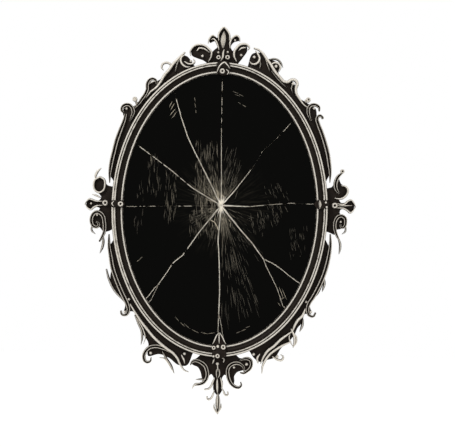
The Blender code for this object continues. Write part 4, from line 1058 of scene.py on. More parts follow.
def keyhole_reach(turn):
    """How far the keyhole's edge is from its centre in this direction."""
    way = towards(turn)
    if way.y <= 0:
        return KEYHOLE_RADIUS
    aside = KEYHOLE_RISE * abs(way.x)
    if aside < KEYHOLE_SLOT_RADIUS:
        slot_end = KEYHOLE_RISE * way.y + math.sqrt(max(KEYHOLE_SLOT_RADIUS**2 - aside**2, 0.0))
        return max(KEYHOLE_RADIUS, slot_end)
    return max(KEYHOLE_RADIUS, KEYHOLE_SLOT_RADIUS / abs(way.x))


def edge_reach(turn):
    """How far the plate's edge is from the keyhole's centre in this direction."""
    way = towards(turn)
    up = (hanger_high.z if way.y > 0 else hanger_low.z) - keyhole_centre.y
    across = HANGER_WIDTH / 2 / max(abs(way.x), 1e-6)
    return min(across, up / way.y if abs(way.y) > 1e-6 else across)


hanger = Shell()
back = HANGER_SINK
front = back + HANGER_THICKNESS
rows = []
for inner, height, ease in (
    (True, back + 0.0002, 0.0),
    (True, back, 0.0002),
    (False, back, 0.0003),
    (False, back + 0.0003, 0.0),
    (False, front, 0.0),
    (True, front, 0.0),
):
    ring = []
    for i in range(PLATE_SIDES):
        turn = math.tau * (i + 0.5) / PLATE_SIDES
        reach = keyhole_reach(turn) + ease if inner else edge_reach(turn) - ease
        ring.append(at(keyhole_centre + towards(turn) * reach, height))
    rows.append(hanger.add_points(ring))
hanger.join(rows, closed_rows=True)
keyhole_plate = hanger.piece("keyhole_plate", [plated_steel], 30)
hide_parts("hanger_plate")
for number in (1, 2):
    low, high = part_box(f"hanger_screw_{number}")
    centre = Vector(((low.x + high.x) / 2, (low.z + high.z) / 2))
    screw(f"hanger_screw_{number}", centre, HANGER_SINK - SEAT_GAP)


# The castings: eight pieces of composition, pressed in carved boxwood moulds and pinned round
# the moulding. Each has a dark bole ground and, rising from it, scrolls, leaves and beads. Their
# ridges carry a pale champagne gilt painted highlight, and the hollows have none.

GROUND_BACK = 0.006
GROUND_THICKNESS = 0.0034
CARVING_RISE = 0.0110
CARVING_UNIT = 0.001
STRAND_STEP_BACK = 0.0001
CURVE_TURN = 9
CURVE_STEP = 0.0035
EDGE_STEP = 0.003
TIGHTEST_BEND = 0.65
SWELL_LENGTH = 0.35
TIP_RISE = 0.55
TOP_JOINT = 0.045
SIDE_JOINT = 0.040

# The carver's hand: widths and heights wander by this share
HAND = 0.05


def mirrored(half):
    """A whole section from its left half."""
    return (*half, *((-side, up, gilt) for side, up, gilt in reversed(half) if side))


# A strand's section, as (share of the half width, share of the rise, gilt painted highlight), from
# its left edge to its middle. A band has two lips with the gilt painted highlight and a hollow, a
# round is a fluted bud, a reed has the highlight on one crown, and a leaf comes to a ridge with it.
BAND = mirrored((
    (-1.0, 0.0, 0.0), (-0.98, 0.35, 0.0), (-0.93, 0.68, 0.25), (-0.85, 0.9, 0.85),
    (-0.74, 1.0, 1.0), (-0.62, 0.97, 1.0), (-0.52, 0.85, 0.7), (-0.42, 0.68, 0.1),
    (-0.25, 0.56, 0.0), (0.0, 0.52, 0.05),
))
ROUND = mirrored((
    (-1.0, 0.0, 0.0), (-0.97, 0.36, 0.2), (-0.88, 0.66, 0.9), (-0.74, 0.84, 1.0),
    (-0.6, 0.8, 0.35), (-0.46, 0.93, 1.0), (-0.3, 0.98, 1.0), (-0.16, 0.9, 0.4), (0.0, 1.0, 1.0),
))
REED = mirrored((
    (-1.0, 0.0, 0.0), (-0.93, 0.34, 0.0), (-0.82, 0.62, 0.15), (-0.66, 0.84, 0.75),
    (-0.46, 0.96, 1.0), (-0.2, 1.0, 1.0),
))
LEAF = mirrored((
    (-1.0, 0.0, 0.0), (-0.92, 0.28, 0.0), (-0.78, 0.46, 0.25), (-0.6, 0.54, 0.1),
    (-0.42, 0.66, 0.3), (-0.22, 0.88, 0.95), (0.0, 1.0, 1.0),
))
# A bead's profile, as (share of the radius, share of the rise, gilt painted highlight): a large
# one is a ring with a sunk dark eye
SMALL_BEAD = (
    (1.0, 0.0, 0.0), (1.0, 0.42, 0.0), (0.97, 0.58, 0.2), (0.9, 0.7, 0.8), (0.78, 0.83, 1.0),
    (0.6, 0.93, 1.0), (0.4, 0.98, 1.0), (0.2, 1.0, 1.0),
)
RING_BEAD = (
    (1.14, 0.0, 0.0), (1.14, 0.45, 0.1), (1.1, 0.7, 0.8), (1.0, 0.9, 1.0), (0.85, 1.0, 1.0),
    (0.62, 1.0, 1.0), (0.5, 0.88, 0.9), (0.4, 0.64, 0.1), (0.27, 0.48, 0.0), (0.1, 0.46, 0.0),
)
RING_RADIUS = 3.3
BEAD_SIDES = 36
# A strand's rounded end: how far it is pushed out and how full it still is, in half widths
END_ROUNDING = ((0.62, 0.25), (0.45, 0.66), (0.2, 0.9))
# The share of its width that a strand keeps at its two ends
SOFT = (0.35, 0.35)
POINTED = (0.6, 0.15)
FLOWING = (0.5, 0.3)

QUARTER_ANGLES = np.linspace(0.0, math.pi / 2, 721)
QUARTER_POINTS = np.array([oval_point(angle, MOULDING_WIDTH) for angle in QUARTER_ANGLES])
QUARTER_STEPS = np.hypot(*np.diff(QUARTER_POINTS, axis=0).T)
QUARTER_DISTANCES = np.concatenate([[0.0], np.cumsum(QUARTER_STEPS)])
QUARTER_LENGTH = QUARTER_DISTANCES[-1]


def wall_point(side, top, distance, outward):
    """A point `distance` along the moulding's outer wall from the 3 or 9 o'clock axis."""
    if distance < 0:
        return wall_point(side, -top, -distance, outward)
    if distance > QUARTER_LENGTH:
        return wall_point(-side, top, 2 * QUARTER_LENGTH - distance, outward)
    angle = float(np.interp(distance, QUARTER_DISTANCES, QUARTER_ANGLES))
    point = oval_point(angle, MOULDING_WIDTH + outward)
    return Vector((side * point.x, top * point.y))


def quadrant(side, top):
    """Places (thousandths of the way from the joint at the crest or pendant to the side's, and
    millimetres out from the moulding's wall)."""
    run = QUARTER_LENGTH - TOP_JOINT - SIDE_JOINT

    def place(along, out):
        distance = QUARTER_LENGTH - TOP_JOINT - run * along / 1000
        return wall_point(side, top, distance, out * CARVING_UNIT)

    return place


def vertical_axis(top):
    """Places (millimetres along the wall to the right of 12 or 6 o'clock, millimetres out)."""

    def place(along, out):
        return wall_point(1, top, QUARTER_LENGTH - along * CARVING_UNIT, out * CARVING_UNIT)

    return place


def horizontal_axis(side):
    """Places (millimetres along the wall above 3 or 9 o'clock, millimetres out)."""

    def place(along, out):
        return wall_point(side, 1, along * CARVING_UNIT, out * CARVING_UNIT)

    return place


def smooth_line(knots, turn=CURVE_TURN, longest=CURVE_STEP):
    """A smooth curve through the knots, with a point every `turn` degrees or every `longest`."""
    points = np.array(knots)
    spans = np.hypot(*np.diff(points, axis=0).T)
    slopes = np.diff(points, axis=0) / spans[:, None]
    tangents = np.empty_like(points)
    tangents[0] = slopes[0]
    tangents[-1] = slopes[-1]
    for i in range(1, len(points) - 1):
        weighted = slopes[i - 1] * spans[i] + slopes[i] * spans[i - 1]
        tangents[i] = weighted / (spans[i - 1] + spans[i])
    fine = []
    for i, span in enumerate(spans):
        for t in np.linspace(0.0, 1.0, 24, endpoint=False):
            fine.append(
                points[i] * (2 * t**3 - 3 * t**2 + 1)
                + tangents[i] * span * (t**3 - 2 * t**2 + t)
                + points[i + 1] * (3 * t**2 - 2 * t**3)
                + tangents[i + 1] * span * (t**3 - t**2)
            )
    fine.append(points[-1])
    fine = np.array(fine)
    steps = np.diff(fine, axis=0)
    headings = np.unwrap(np.arctan2(steps[:, 1], steps[:, 0]))
    turns = np.concatenate([[0.0], np.degrees(np.abs(np.diff(headings)))])
    progress = np.concatenate([[0.0], np.cumsum(turns / turn + np.hypot(*steps.T) / longest)])
    count = max(6, round(progress[-1]))
    marks = np.interp(np.linspace(0.0, progress[-1], count + 1), progress, range(len(fine)))
    across = np.interp(marks, range(len(fine)), fine[:, 0])
    up = np.interp(marks, range(len(fine)), fine[:, 1])
    return [Vector(point) for point in zip(across, up)]


def swell(share, start, end):
    """Width along a strand: full in the middle, easing down to the shares given at its ends."""
    full = 1.0
    if share < SWELL_LENGTH:
        full -= (1 - start) * (1 - share / SWELL_LENGTH) ** 2
    if share > 1 - SWELL_LENGTH:
        full -= (1 - end) * (1 - (1 - share) / SWELL_LENGTH) ** 2
    return full


def bend_radius(before, point, after):
    """The radius of the circle through three points."""
    first = point - before
    second = after - point
    area = abs(first.x * second.y - first.y * second.x)
    return first.length * second.length * (after - before).length / max(2 * area, 1e-9)


def eased(values):
    """The list smoothed, so that a strand narrows gently into a tight bend."""
    for _ in range(3):
        trios = zip(values, values[1:], values[2:])
        inner = [min(value, (before + after) / 2) for before, value, after in trios]
        values = [values[0], *inner, values[-1]]
    return values


def add_strand(shell, line, section, half_width, rise, seat, back, tips):
    """A carved strand along the line, raised off its seat and rounded over at its ends."""
    lengths = np.cumsum([0.0, *((b - a).length for a, b in zip(line, line[1:]))])
    last = len(line) - 1
    widths = []
    for i, point in enumerate(line):
        width = half_width * swell(lengths[i] / lengths[-1], *tips)
        if 0 < i < last:
            tight = bend_radius(line[max(i - 2, 0)], point, line[min(i + 2, last)])
            width = min(width, TIGHTEST_BEND * tight)
        widths.append(width)
    widths = eased(widths)
    stations = []
    first_way = (line[0] - line[1]).normalized()
    last_way = (line[-1] - line[-2]).normalized()
    for push, share in END_ROUNDING:
        tip = line[0] + first_way * widths[0] * push
        stations.append((tip, -first_way, widths[0] * share, share))
    for i, point in enumerate(line):
        along = (line[min(i + 1, last)] - line[max(i - 1, 0)]).normalized()
        stations.append((point, along, widths[i], 1.0))
    for push, share in reversed(END_ROUNDING):
        tip = line[-1] + last_way * widths[-1] * push
        stations.append((tip, last_way, widths[-1] * share, share))
    rows = []
    for point, along, width, fullness in stations:
        across = left_of(along)
        lift = rise * (TIP_RISE + (1 - TIP_RISE) * width / half_width) * (0.55 + 0.45 * fullness)
        hand = 1 + HAND * noise.noise(Vector((point.x * 160, point.y * 160, back * 4000)))
        ring = []
        gilding = []
        for side, up, gilt in section:
            spot = point + across * side * width * hand
            ring.append(at(spot, seat(spot) + back + up * lift * hand))
            # the gilt painted highlight thins towards a strand's rounded ends
            gilding.append(gilt * (0.5 + 0.5 * fullness))
        rows.append(shell.add_points(ring, gilding))
    shell.loft(rows)


def add_bead(shell, centre, radius, seat, back, rise):
    """A bead with a gilt painted highlight, in a dark socket."""
    rows = []
    for share, up, gilt in RING_BEAD if radius > RING_RADIUS * CARVING_UNIT else SMALL_BEAD:
        ring = []
        for i in range(BEAD_SIDES):
            turn = math.tau * i / BEAD_SIDES
            hand = 1 + HAND * noise.noise(Vector((centre.x * 300, centre.y * 300, turn)))
            spot = centre + towards(turn) * radius * share * hand
            ring.append(at(spot, seat(spot) + back + rise * up))
        rows.append(shell.add_points(ring, gilt))
    shell.loft(rows)


def add_ground(shell, place, edge):
    """The bole ground: a plate from the moulding's wall to its free edge, the edge rounded."""
    free = smooth_line([place(*knot) for knot in edge], turn=8, longest=EDGE_STEP)
    wall_gap = SEAT_GAP / CARVING_UNIT
    first = edge[0][0]
    last = edge[-1][0]
    steps = max(12, round((place(last, 0) - place(first, 0)).length / EDGE_STEP))
    wall = [place(last + (first - last) * k / steps, wall_gap) for k in range(steps + 1)]
    outline = [*free, *wall]
    area = sum(a.x * b.y - b.x * a.y for a, b in zip(outline, outline[1:] + outline[:1]))
    inward_sign = 1 if area > 0 else -1
    front = GROUND_BACK + GROUND_THICKNESS
    layers = (
        (0.0004, GROUND_BACK),
        (0.0, GROUND_BACK + 0.0004),
        (0.0, front - 0.0009),
        (0.0005, front - 0.0002),
        (0.0011, front),
    )
    rows = []
    count = len(outline)
    for inset, height in layers:
        ring = []
        for i, point in enumerate(outline):
            before = outline[i - 1]
            after = outline[(i + 1) % count]
            along = (after - before).normalized()
            inward = left_of(along) * inward_sign
            room = TIGHTEST_BEND * bend_radius(before, point, after)
            ring.append(at(point + inward * min(inset, room), height))
        rows.append(shell.add_points(ring))
    shell.loft(rows)


def ground_back(point):
    """The carving of a casting starts from one flat level."""
    return GROUND_BACK


def add_carving(shell, place, seat, full_rise, strands, beads):
    """Strands and beads on one plate or saddle, their backs staggered as in the mould."""
    for index, (section, half_width, rise, tips, knots) in enumerate(strands):
        line = smooth_line([place(*knot) for knot in knots])
        back = STRAND_STEP_BACK * (3 + index)
        add_strand(
            shell, line, section, half_width * CARVING_UNIT, full_rise * rise, seat, back, tips
        )
    for index, (along, out, radius) in enumerate(beads):
        back = STRAND_STEP_BACK * (3.5 + index)
        add_bead(shell, place(along, out), radius * CARVING_UNIT, seat, back, full_rise)


# Champagne gilt on composition: pale warm leaf that paints the highlights on the ridges, with a
# soft metal sheen, over a brown-black bole
composition = worn_gilt_highlight_finish(
    "Champagne gilt composition",
    "#0f0b09", "#221a13", "#e7e1d7", "#b8b0a2", "#5b4f42", 0.2,
)

# Each strand: section, half width, share of the rise, end widths, knots. Each bead: place and
# radius. All are in millimetres, except along the quarter runs.

CREST_EDGE = (
    (-29, 0.3), (-36, 8), (-46, 15), (-54, 24), (-52, 34), (-44, 38.5), (-35, 37), (-25, 29),
    (-20, 21), (-14, 26), (-8, 32), (-12, 43), (-20, 41), (-20, 48), (-14, 53), (-8, 50), (-5, 58),
    (2, 68), (8, 60), (12, 49), (17, 51), (22, 55), (26, 48), (18, 42), (14, 33), (18, 25),
    (22, 24), (26, 33), (32, 39.5), (39, 40), (42, 32), (38, 16), (31, 0.3),
)
CREST_STRANDS = (
    (
        REED, 2.1, 1.0, (0.5, 0.5),
        ((-6, 44), (-6, 56), (-3, 64), (2, 70), (6, 65), (10, 57), (11, 45)),
    ),
    (ROUND, 5.6, 1.0, (0.3, 0.1), ((1, 30), (1, 41), (1.5, 51), (2, 62))),
    (REED, 1.9, 0.9, POINTED, ((-6, 26), (-8, 36), (-11, 44), (-14, 47.5), (-18, 46))),
    (REED, 1.9, 0.9, SOFT, ((-23, 40), (-20, 49), (-15, 54.5), (-10, 51))),
    (REED, 2.3, 0.9, SOFT, ((13, 29), (12, 40), (14, 48), (18, 54), (21, 56), (25, 53), (27, 46))),
    (
        REED, 2.3, 1.0, SOFT,
        ((-27, 3), (-20.5, 13), (-19, 21), (-23, 29), (-29, 36), (-37, 40), (-45, 40), (-51, 36),
         (-55, 31), (-56, 24)),
    ),
    (REED, 2.0, 0.8, (0.2, 0.8), ((-23, 21), (-27, 26.5), (-33, 31.5), (-39, 33), (-43, 29.5))),
    (
        REED, 2.8, 1.0, SOFT,
        ((28, 5), (22, 14), (21, 24), (24, 32), (28, 38.5), (34, 42), (40, 42), (44, 38), (43, 33)),
    ),
    (REED, 2.1, 0.8, (0.3, 0.7), ((28, 27), (32, 33), (38, 36))),
    (REED, 2.4, 0.9, SOFT, ((3, 26), (1.5, 18), (1, 10), (-3, 3))),
)
CREST_BEADS = (
    (-7, 10, 4.0), (10, 10.5, 4.3), (-7, 20, 2.3), (9.5, 21, 2.2), (-36, 16.5, 2.8), (34, 19, 2.6),
    (19.5, 46, 2.0),
)

SHOULDER_LEFT_EDGE = (
    (30, 0.3), (66, 28), (95, 28), (140, 23), (179, 17), (224, 13), (276, 14), (309, 21),
    (355, 15), (430, 11), (486, 18), (510, 30), (545, 28), (579, 18), (643, 16), (782, 13),
    (932, 8), (960, 0.3),
)
SHOULDER_LEFT_STRANDS = (
    (
        REED, 3.2, 1.0, FLOWING,
        ((58, 34), (94, 29), (140, 23), (179, 17), (224, 13), (260, 8), (306, 5), (351, 7),
         (396, 6)),
    ),
    (LEAF, 2.4, 0.9, POINTED, ((85, 28), (113, 22), (138, 14), (158, 6))),
    (REED, 2.4, 0.9, FLOWING, ((166, 17), (158, 26), (170, 32), (191, 34), (208, 29), (208, 23))),
    (
        BAND, 3.6, 1.0, FLOWING,
        ((288, 10), (279, 17), (287, 23), (309, 25), (332, 22), (355, 15), (383, 12), (418, 11),
         (456, 11), (500, 14)),
    ),
    (
        BAND, 3.6, 1.0, FLOWING,
        ((545, 26), (538, 32), (522, 34), (500, 31), (489, 24), (495, 16), (513, 10), (541, 8),
         (571, 7)),
    ),
    (
        BAND, 4.6, 1.0, POINTED,
        ((548, 21), (579, 18), (643, 16), (707, 15), (782, 13), (858, 12), (932, 10), (972, 8)),
    ),
    (REED, 2.6, 0.9, FLOWING, ((66, 29), (86, 27), (98, 20), (96, 12), (81, 5), (58, 3))),
    (REED, 2.2, 0.8, FLOWING, ((80, 17), (60, 9), (39, 7), (24, 10), (26, 16))),
    (LEAF, 2.4, 0.9, POINTED, ((474, 11), (456, 15), (446, 24))),
)
SHOULDER_LEFT_BEADS = ((444, 22, 3.2), (44, 13, 2.6), (516, 25, 2.4))

SHOULDER_RIGHT_EDGE = (
    (20, 0.3), (26, 30), (60, 36), (100, 31), (130, 34), (180, 34), (200, 20), (260, 13),
    (290, 24), (330, 22), (380, 13), (445, 20), (500, 28), (545, 22), (585, 19), (642, 18),
    (768, 14), (900, 9), (940, 0.3),
)
SHOULDER_RIGHT_STRANDS = (
    (
        REED, 3.4, 1.0, FLOWING,
        ((22, 40), (48, 40), (71, 37), (100, 31), (135, 25), (182, 17), (224, 14), (260, 13),
         (277, 17), (283, 25), (297, 30), (320, 29), (336, 20), (359, 14), (399, 12), (439, 12),
         (475, 16)),
    ),
    (LEAF, 2.4, 0.9, POINTED, ((164, 14), (213, 9), (259, 7), (303, 8))),
    (LEAF, 2.4, 0.9, POINTED, ((304, 23), (319, 13), (345, 9))),
    (LEAF, 2.4, 0.9, POINTED, ((88, 33), (105, 27), (128, 19), (156, 12))),
    (
        REED, 2.6, 0.9, FLOWING,
        ((34, 36), (52, 31), (68, 25), (69, 16), (55, 10), (36, 9), (22, 12)),
    ),
    (LEAF, 2.4, 0.8, POINTED, ((78, 20), (88, 14), (94, 6))),
    (REED, 2.4, 0.9, FLOWING, ((140, 24), (153, 32), (173, 34), (190, 31), (199, 22))),
    (LEAF, 2.2, 0.8, POINTED, ((118, 32), (140, 38), (160, 40), (182, 38), (204, 33))),
    (
        BAND, 3.6, 1.0, FLOWING,
        ((520, 32), (502, 35), (482, 32), (469, 25), (472, 17), (490, 12), (515, 9), (548, 8)),
    ),
    (
        BAND, 4.6, 1.0, POINTED,
        ((566, 31), (552, 31), (544, 25), (557, 20), (585, 18), (642, 17), (702, 16), (768, 15),
         (835, 13), (897, 11), (948, 8)),
    ),
)
SHOULDER_RIGHT_BEADS = (
    (306, 22, 3.0), (38, 23, 3.0), (169, 27, 3.2), (432, 21, 3.4), (493, 25, 2.6),
)

FLANK_LEFT_EDGE = (
    (925, 0.3), (890, 10), (760, 16), (700, 25), (604, 24), (520, 20), (488, 29), (466, 14),
    (394, 14), (335, 24), (268, 30), (222, 50), (182, 34), (121, 30), (66, 34), (26, 30),
    (10, 0.3),
)
FLANK_LEFT_STRANDS = (
    (
        BAND, 4.6, 1.0, (0.3, 0.4),
        ((960, 8), (890, 11), (828, 12), (760, 14), (690, 14), (625, 14), (565, 14), (519, 15),
         (485, 19), (470, 28), (484, 35), (503, 33)),
    ),
    (LEAF, 2.6, 0.9, POINTED, ((758, 27), (700, 28), (646, 27), (604, 24), (567, 20), (530, 18))),
    (
        REED, 3.4, 1.0, FLOWING,
        ((510, 10), (453, 10), (394, 11), (328, 12), (268, 14), (214, 15), (162, 16), (121, 17),
         (86, 22), (57, 31), (27, 39), (4, 40)),
    ),
    (LEAF, 2.6, 0.9, POINTED, ((439, 14), (388, 18), (341, 23), (310, 32), (289, 43))),
    (
        BAND, 3.8, 1.0, FLOWING,
        ((140, 18), (180, 19), (219, 24), (244, 34), (248, 46), (236, 57), (213, 62), (198, 56),
         (206, 49)),
    ),
    (LEAF, 2.6, 0.9, POINTED, ((175, 26), (135, 34), (100, 41), (66, 53))),
    (REED, 2.4, 0.9, FLOWING, ((72, 13), (50, 19), (36, 26))),
)
FLANK_LEFT_BEADS = ((222, 42, 3.0), (488, 27, 2.6), (58, 8, 3.0), (540, 7, 2.6))

FLANK_RIGHT_EDGE = (
    (952, 0.3), (900, 12), (792, 15), (691, 20), (620, 20), (539, 14), (495, 26), (470, 16),
    (430, 22), (380, 22), (345, 26), (300, 28), (240, 28), (175, 36), (129, 32), (98, 30),
    (80, 22), (64, 0.3),
)
FLANK_RIGHT_STRANDS = (
    (
        BAND, 4.6, 1.0, (0.3, 0.4),
        ((985, 9), (934, 12), (860, 14), (792, 15), (718, 15), (645, 14), (583, 13), (539, 12),
         (502, 16), (482, 25), (488, 33), (512, 33)),
    ),
    (LEAF, 2.8, 0.9, POINTED, ((720, 17), (691, 22), (638, 25))),
    (REED, 3.4, 1.0, FLOWING, ((500, 11), (457, 14), (419, 12), (382, 14), (345, 19))),
    (REED, 2.8, 0.9, POINTED, ((352, 14), (338, 26), (316, 36), (286, 43))),
    (LEAF, 2.8, 0.9, POINTED, ((440, 20), (410, 26), (374, 30))),
    (
        REED, 3.2, 1.0, FLOWING,
        ((345, 18), (300, 15), (259, 14), (210, 16), (164, 17), (129, 23), (96, 33)),
    ),
    (
        REED, 2.8, 0.9, FLOWING,
        ((300, 31), (243, 25), (204, 24), (166, 25), (132, 30), (103, 38), (81, 52)),
    ),
    (REED, 2.6, 0.9, FLOWING, ((84, 30), (92, 20), (116, 15))),
    (REED, 2.4, 0.9, FLOWING, ((170, 32), (184, 43), (199, 48), (216, 45), (212, 38))),
)
FLANK_RIGHT_BEADS = ((504, 24, 2.6), (190, 37, 3.0), (82, 10, 3.0), (540, 5, 2.6))

PENDANT_EDGE = (
    (-33, 0.3), (-39, 9), (-44, 15), (-46, 22), (-42, 24), (-33, 26), (-27, 34), (-23, 46),
    (-20, 53), (-15, 51), (-13, 41), (-9, 36), (-5, 42), (-5, 56), (-4, 68), (2, 78), (8, 67),
    (8, 54), (9, 42), (13, 37), (17, 43), (19, 53), (24, 60), (27, 52), (28, 42), (34, 35),
    (43, 34), (52, 35), (58, 27), (59, 18), (51, 12), (43, 8), (38, 0.3),
)
PENDANT_STRANDS = (
    (
        BAND, 3.8, 1.0, SOFT,
        ((-46, 25), (-45.5, 19.5), (-42, 15), (-37, 13.5), (-29, 15), (-21, 20), (-17, 28),
         (-15, 37), (-16, 46), (-19, 53), (-25, 58.5), (-32, 62)),
    ),
    (REED, 1.9, 0.9, SOFT, ((-27, 57), (-31, 60), (-33, 65), (-34, 70))),
    (LEAF, 2.4, 0.9, POINTED, ((-17, 47), (-24, 48.5), (-32, 51))),
    (
        BAND, 3.8, 1.0, SOFT,
        ((45, 36), (46, 28), (43, 21.5), (36, 16.5), (29, 16.5), (22, 20.5), (18.5, 28), (18, 37),
         (19, 47), (22, 56), (27, 63), (32, 65.5), (36, 62), (36, 56)),
    ),
    (
        BAND, 3.4, 1.0, SOFT,
        ((43, 13), (51, 12), (57.5, 14), (61.5, 19), (61, 26), (57, 33), (50, 37.5), (43, 39.5),
         (38.5, 37)),
    ),
    (REED, 2.2, 0.9, SOFT, ((-5, 2.5), (-6, 7), (-8, 14))),
    (REED, 2.2, 0.9, SOFT, ((9, 2.5), (13.5, 5), (12, 12))),
    (REED, 1.8, 0.9, SOFT, ((1, 14), (1.5, 21), (2, 30))),
    (BAND, 4.8, 1.0, (0.9, 0.15), ((2, 27), (2, 36), (1, 44))),
    (REED, 3.0, 1.0, (0.4, 0.15), ((1, 45), (1, 58), (1.5, 73))),
    (REED, 2.2, 0.9, (0.3, 0.6), ((-3, 42), (-6, 52), (-8, 60), (-11, 65), (-17, 67.5))),
    (REED, 2.4, 0.9, SOFT, ((6, 42), (8, 52), (8, 63))),
    (REED, 2.0, 0.9, (0.4, 0.8), ((-3, 67), (-5, 78), (-7.5, 84.5), (-11, 86.5), (-12.5, 81))),
    (REED, 2.0, 0.9, (0.4, 0.8), ((7, 62), (10, 70), (12, 77), (15.5, 77.5), (15.5, 71.5))),
    (BAND, 5.2, 0.9, (0.3, 0.1), ((2, 74), (2, 90), (2, 101), (2, 115))),
    (REED, 1.9, 1.0, (0.4, 0.3), ((1.5, 75), (1.5, 90), (2, 104))),
)
PENDANT_BEADS = ((52.5, 24, 3.0), (1, 14, 3.3), (30, 24, 2.3))

SIDE_LEFT_EDGE = (
    (42, 0.3), (44, 12), (52, 20), (55, 30), (46, 37), (34, 36), (26, 27), (19, 22), (13, 27),
    (15, 38), (14, 45), (6, 51), (-2, 46), (-3, 40), (1, 32), (-2, 24), (-6, 27), (-12, 36),
    (-24, 41), (-35, 37), (-37, 26), (-46, 18), (-46, 8), (-43, 0.3),
)
SIDE_LEFT_STRANDS = (
    (
        REED, 2.1, 1.0, (1.0, 1.0),
        ((57, 28.5), (53.5, 20), (43, 16.5), (33, 18.5), (28, 27), (32, 35.5), (41, 39), (51, 37),
         (56.5, 29.5)),
    ),
    (REED, 2.6, 0.9, (0.3, 0.15), ((51, 37), (58, 38), (66, 35.5), (74, 29.5))),
    (REED, 2.1, 0.9, SOFT, ((23.5, 40), (22, 32), (18, 22))),
    (REED, 1.8, 1.0, SOFT, ((12, 18), (12, 32), (14, 39), (15, 45), (11, 50), (5, 54))),
    (REED, 1.8, 1.0, SOFT, ((4, 18), (3, 30), (0, 36), (-4, 41.5), (-1, 48), (6, 53))),
    (
        BAND, 3.9, 1.0, (0.4, 0.5),
        ((-27, 31), (-29, 27), (-34, 27), (-36.5, 32), (-34, 37.5), (-28, 40.5), (-20, 40.5),
         (-13, 37), (-8.5, 30), (-11, 22), (-18, 16.5), (-28, 15), (-38, 15), (-48, 17.5),
         (-56, 22.5), (-63, 28.5)),
    ),
    (LEAF, 2.8, 0.9, (0.3, 0.2), ((-53, 20), (-64, 21), (-75, 25), (-85, 32))),
    (LEAF, 2.0, 0.7, POINTED, ((-31, 40), (-42, 41.5), (-49, 35))),
)
SIDE_LEFT_BEADS = ((9, 13, 5.0), (7, 41, 2.2), (-14, 29, 2.2))

SIDE_RIGHT_EDGE = (
    (46, 0.3), (48, 11), (57, 18), (62, 26), (52, 30), (44, 39), (36, 40), (28, 34), (23, 24),
    (17, 27), (17, 37), (20, 46), (10, 54), (0, 46), (4, 37), (3, 26), (-3, 25), (-7, 32),
    (-14, 37), (-25, 36), (-32, 29), (-36, 19), (-44, 18), (-42, 8), (-40, 0.3),
)
SIDE_RIGHT_STRANDS = (
    (
        BAND, 4.0, 1.0, (0.5, 0.3),
        ((71, 34.5), (66, 26.5), (58, 20.5), (50, 18), (42, 19), (34, 24)),
    ),
    (
        REED, 2.4, 1.0, SOFT,
        ((48, 30), (46.5, 37), (40, 42), (34, 41), (29, 37), (25, 31), (24, 23), (26, 15)),
    ),
    (REED, 1.8, 1.0, SOFT, ((15, 18), (14, 34), (19, 41), (21, 47), (15, 53), (8, 56.5))),
    (REED, 1.8, 1.0, SOFT, ((7, 18), (6, 32), (2, 40), (-2, 45), (3, 52), (9, 56))),
    (REED, 1.5, 0.9, SOFT, ((11, 20), (11, 36), (11, 49))),
    (
        BAND, 3.6, 1.0, (0.4, 0.4),
        ((-24, 27), (-28.5, 27.5), (-30, 32), (-26, 36), (-19, 37), (-12, 35.5), (-8, 29),
         (-9.5, 22), (-16, 17), (-25, 15.5), (-36, 17.5), (-45, 22), (-54, 29)),
    ),
    (LEAF, 2.6, 0.9, (0.4, 0.2), ((-49, 25), (-59, 31), (-69, 33), (-79, 33))),
    (LEAF, 2.0, 0.8, POINTED, ((-26, 38), (-36, 38), (-42, 32))),
)
SIDE_RIGHT_BEADS = ((74, 36, 3.8), (11.5, 14.5, 5.0), (-19, 27, 2.2))

CASTINGS = {
    "crest": (vertical_axis(1), CREST_EDGE, CREST_STRANDS, CREST_BEADS),
    "pendant": (vertical_axis(-1), PENDANT_EDGE, PENDANT_STRANDS, PENDANT_BEADS),
    "side_left": (horizontal_axis(-1), SIDE_LEFT_EDGE, SIDE_LEFT_STRANDS, SIDE_LEFT_BEADS),
    "side_right": (horizontal_axis(1), SIDE_RIGHT_EDGE, SIDE_RIGHT_STRANDS, SIDE_RIGHT_BEADS),
    "shoulder_left": (
        quadrant(-1, 1), SHOULDER_LEFT_EDGE, SHOULDER_LEFT_STRANDS, SHOULDER_LEFT_BEADS,
    ),
    "shoulder_right": (
        quadrant(1, 1), SHOULDER_RIGHT_EDGE, SHOULDER_RIGHT_STRANDS, SHOULDER_RIGHT_BEADS,
    ),
    "flank_left": (quadrant(-1, -1), FLANK_LEFT_EDGE, FLANK_LEFT_STRANDS, FLANK_LEFT_BEADS),
    "flank_right": (quadrant(1, -1), FLANK_RIGHT_EDGE, FLANK_RIGHT_STRANDS, FLANK_RIGHT_BEADS),
}

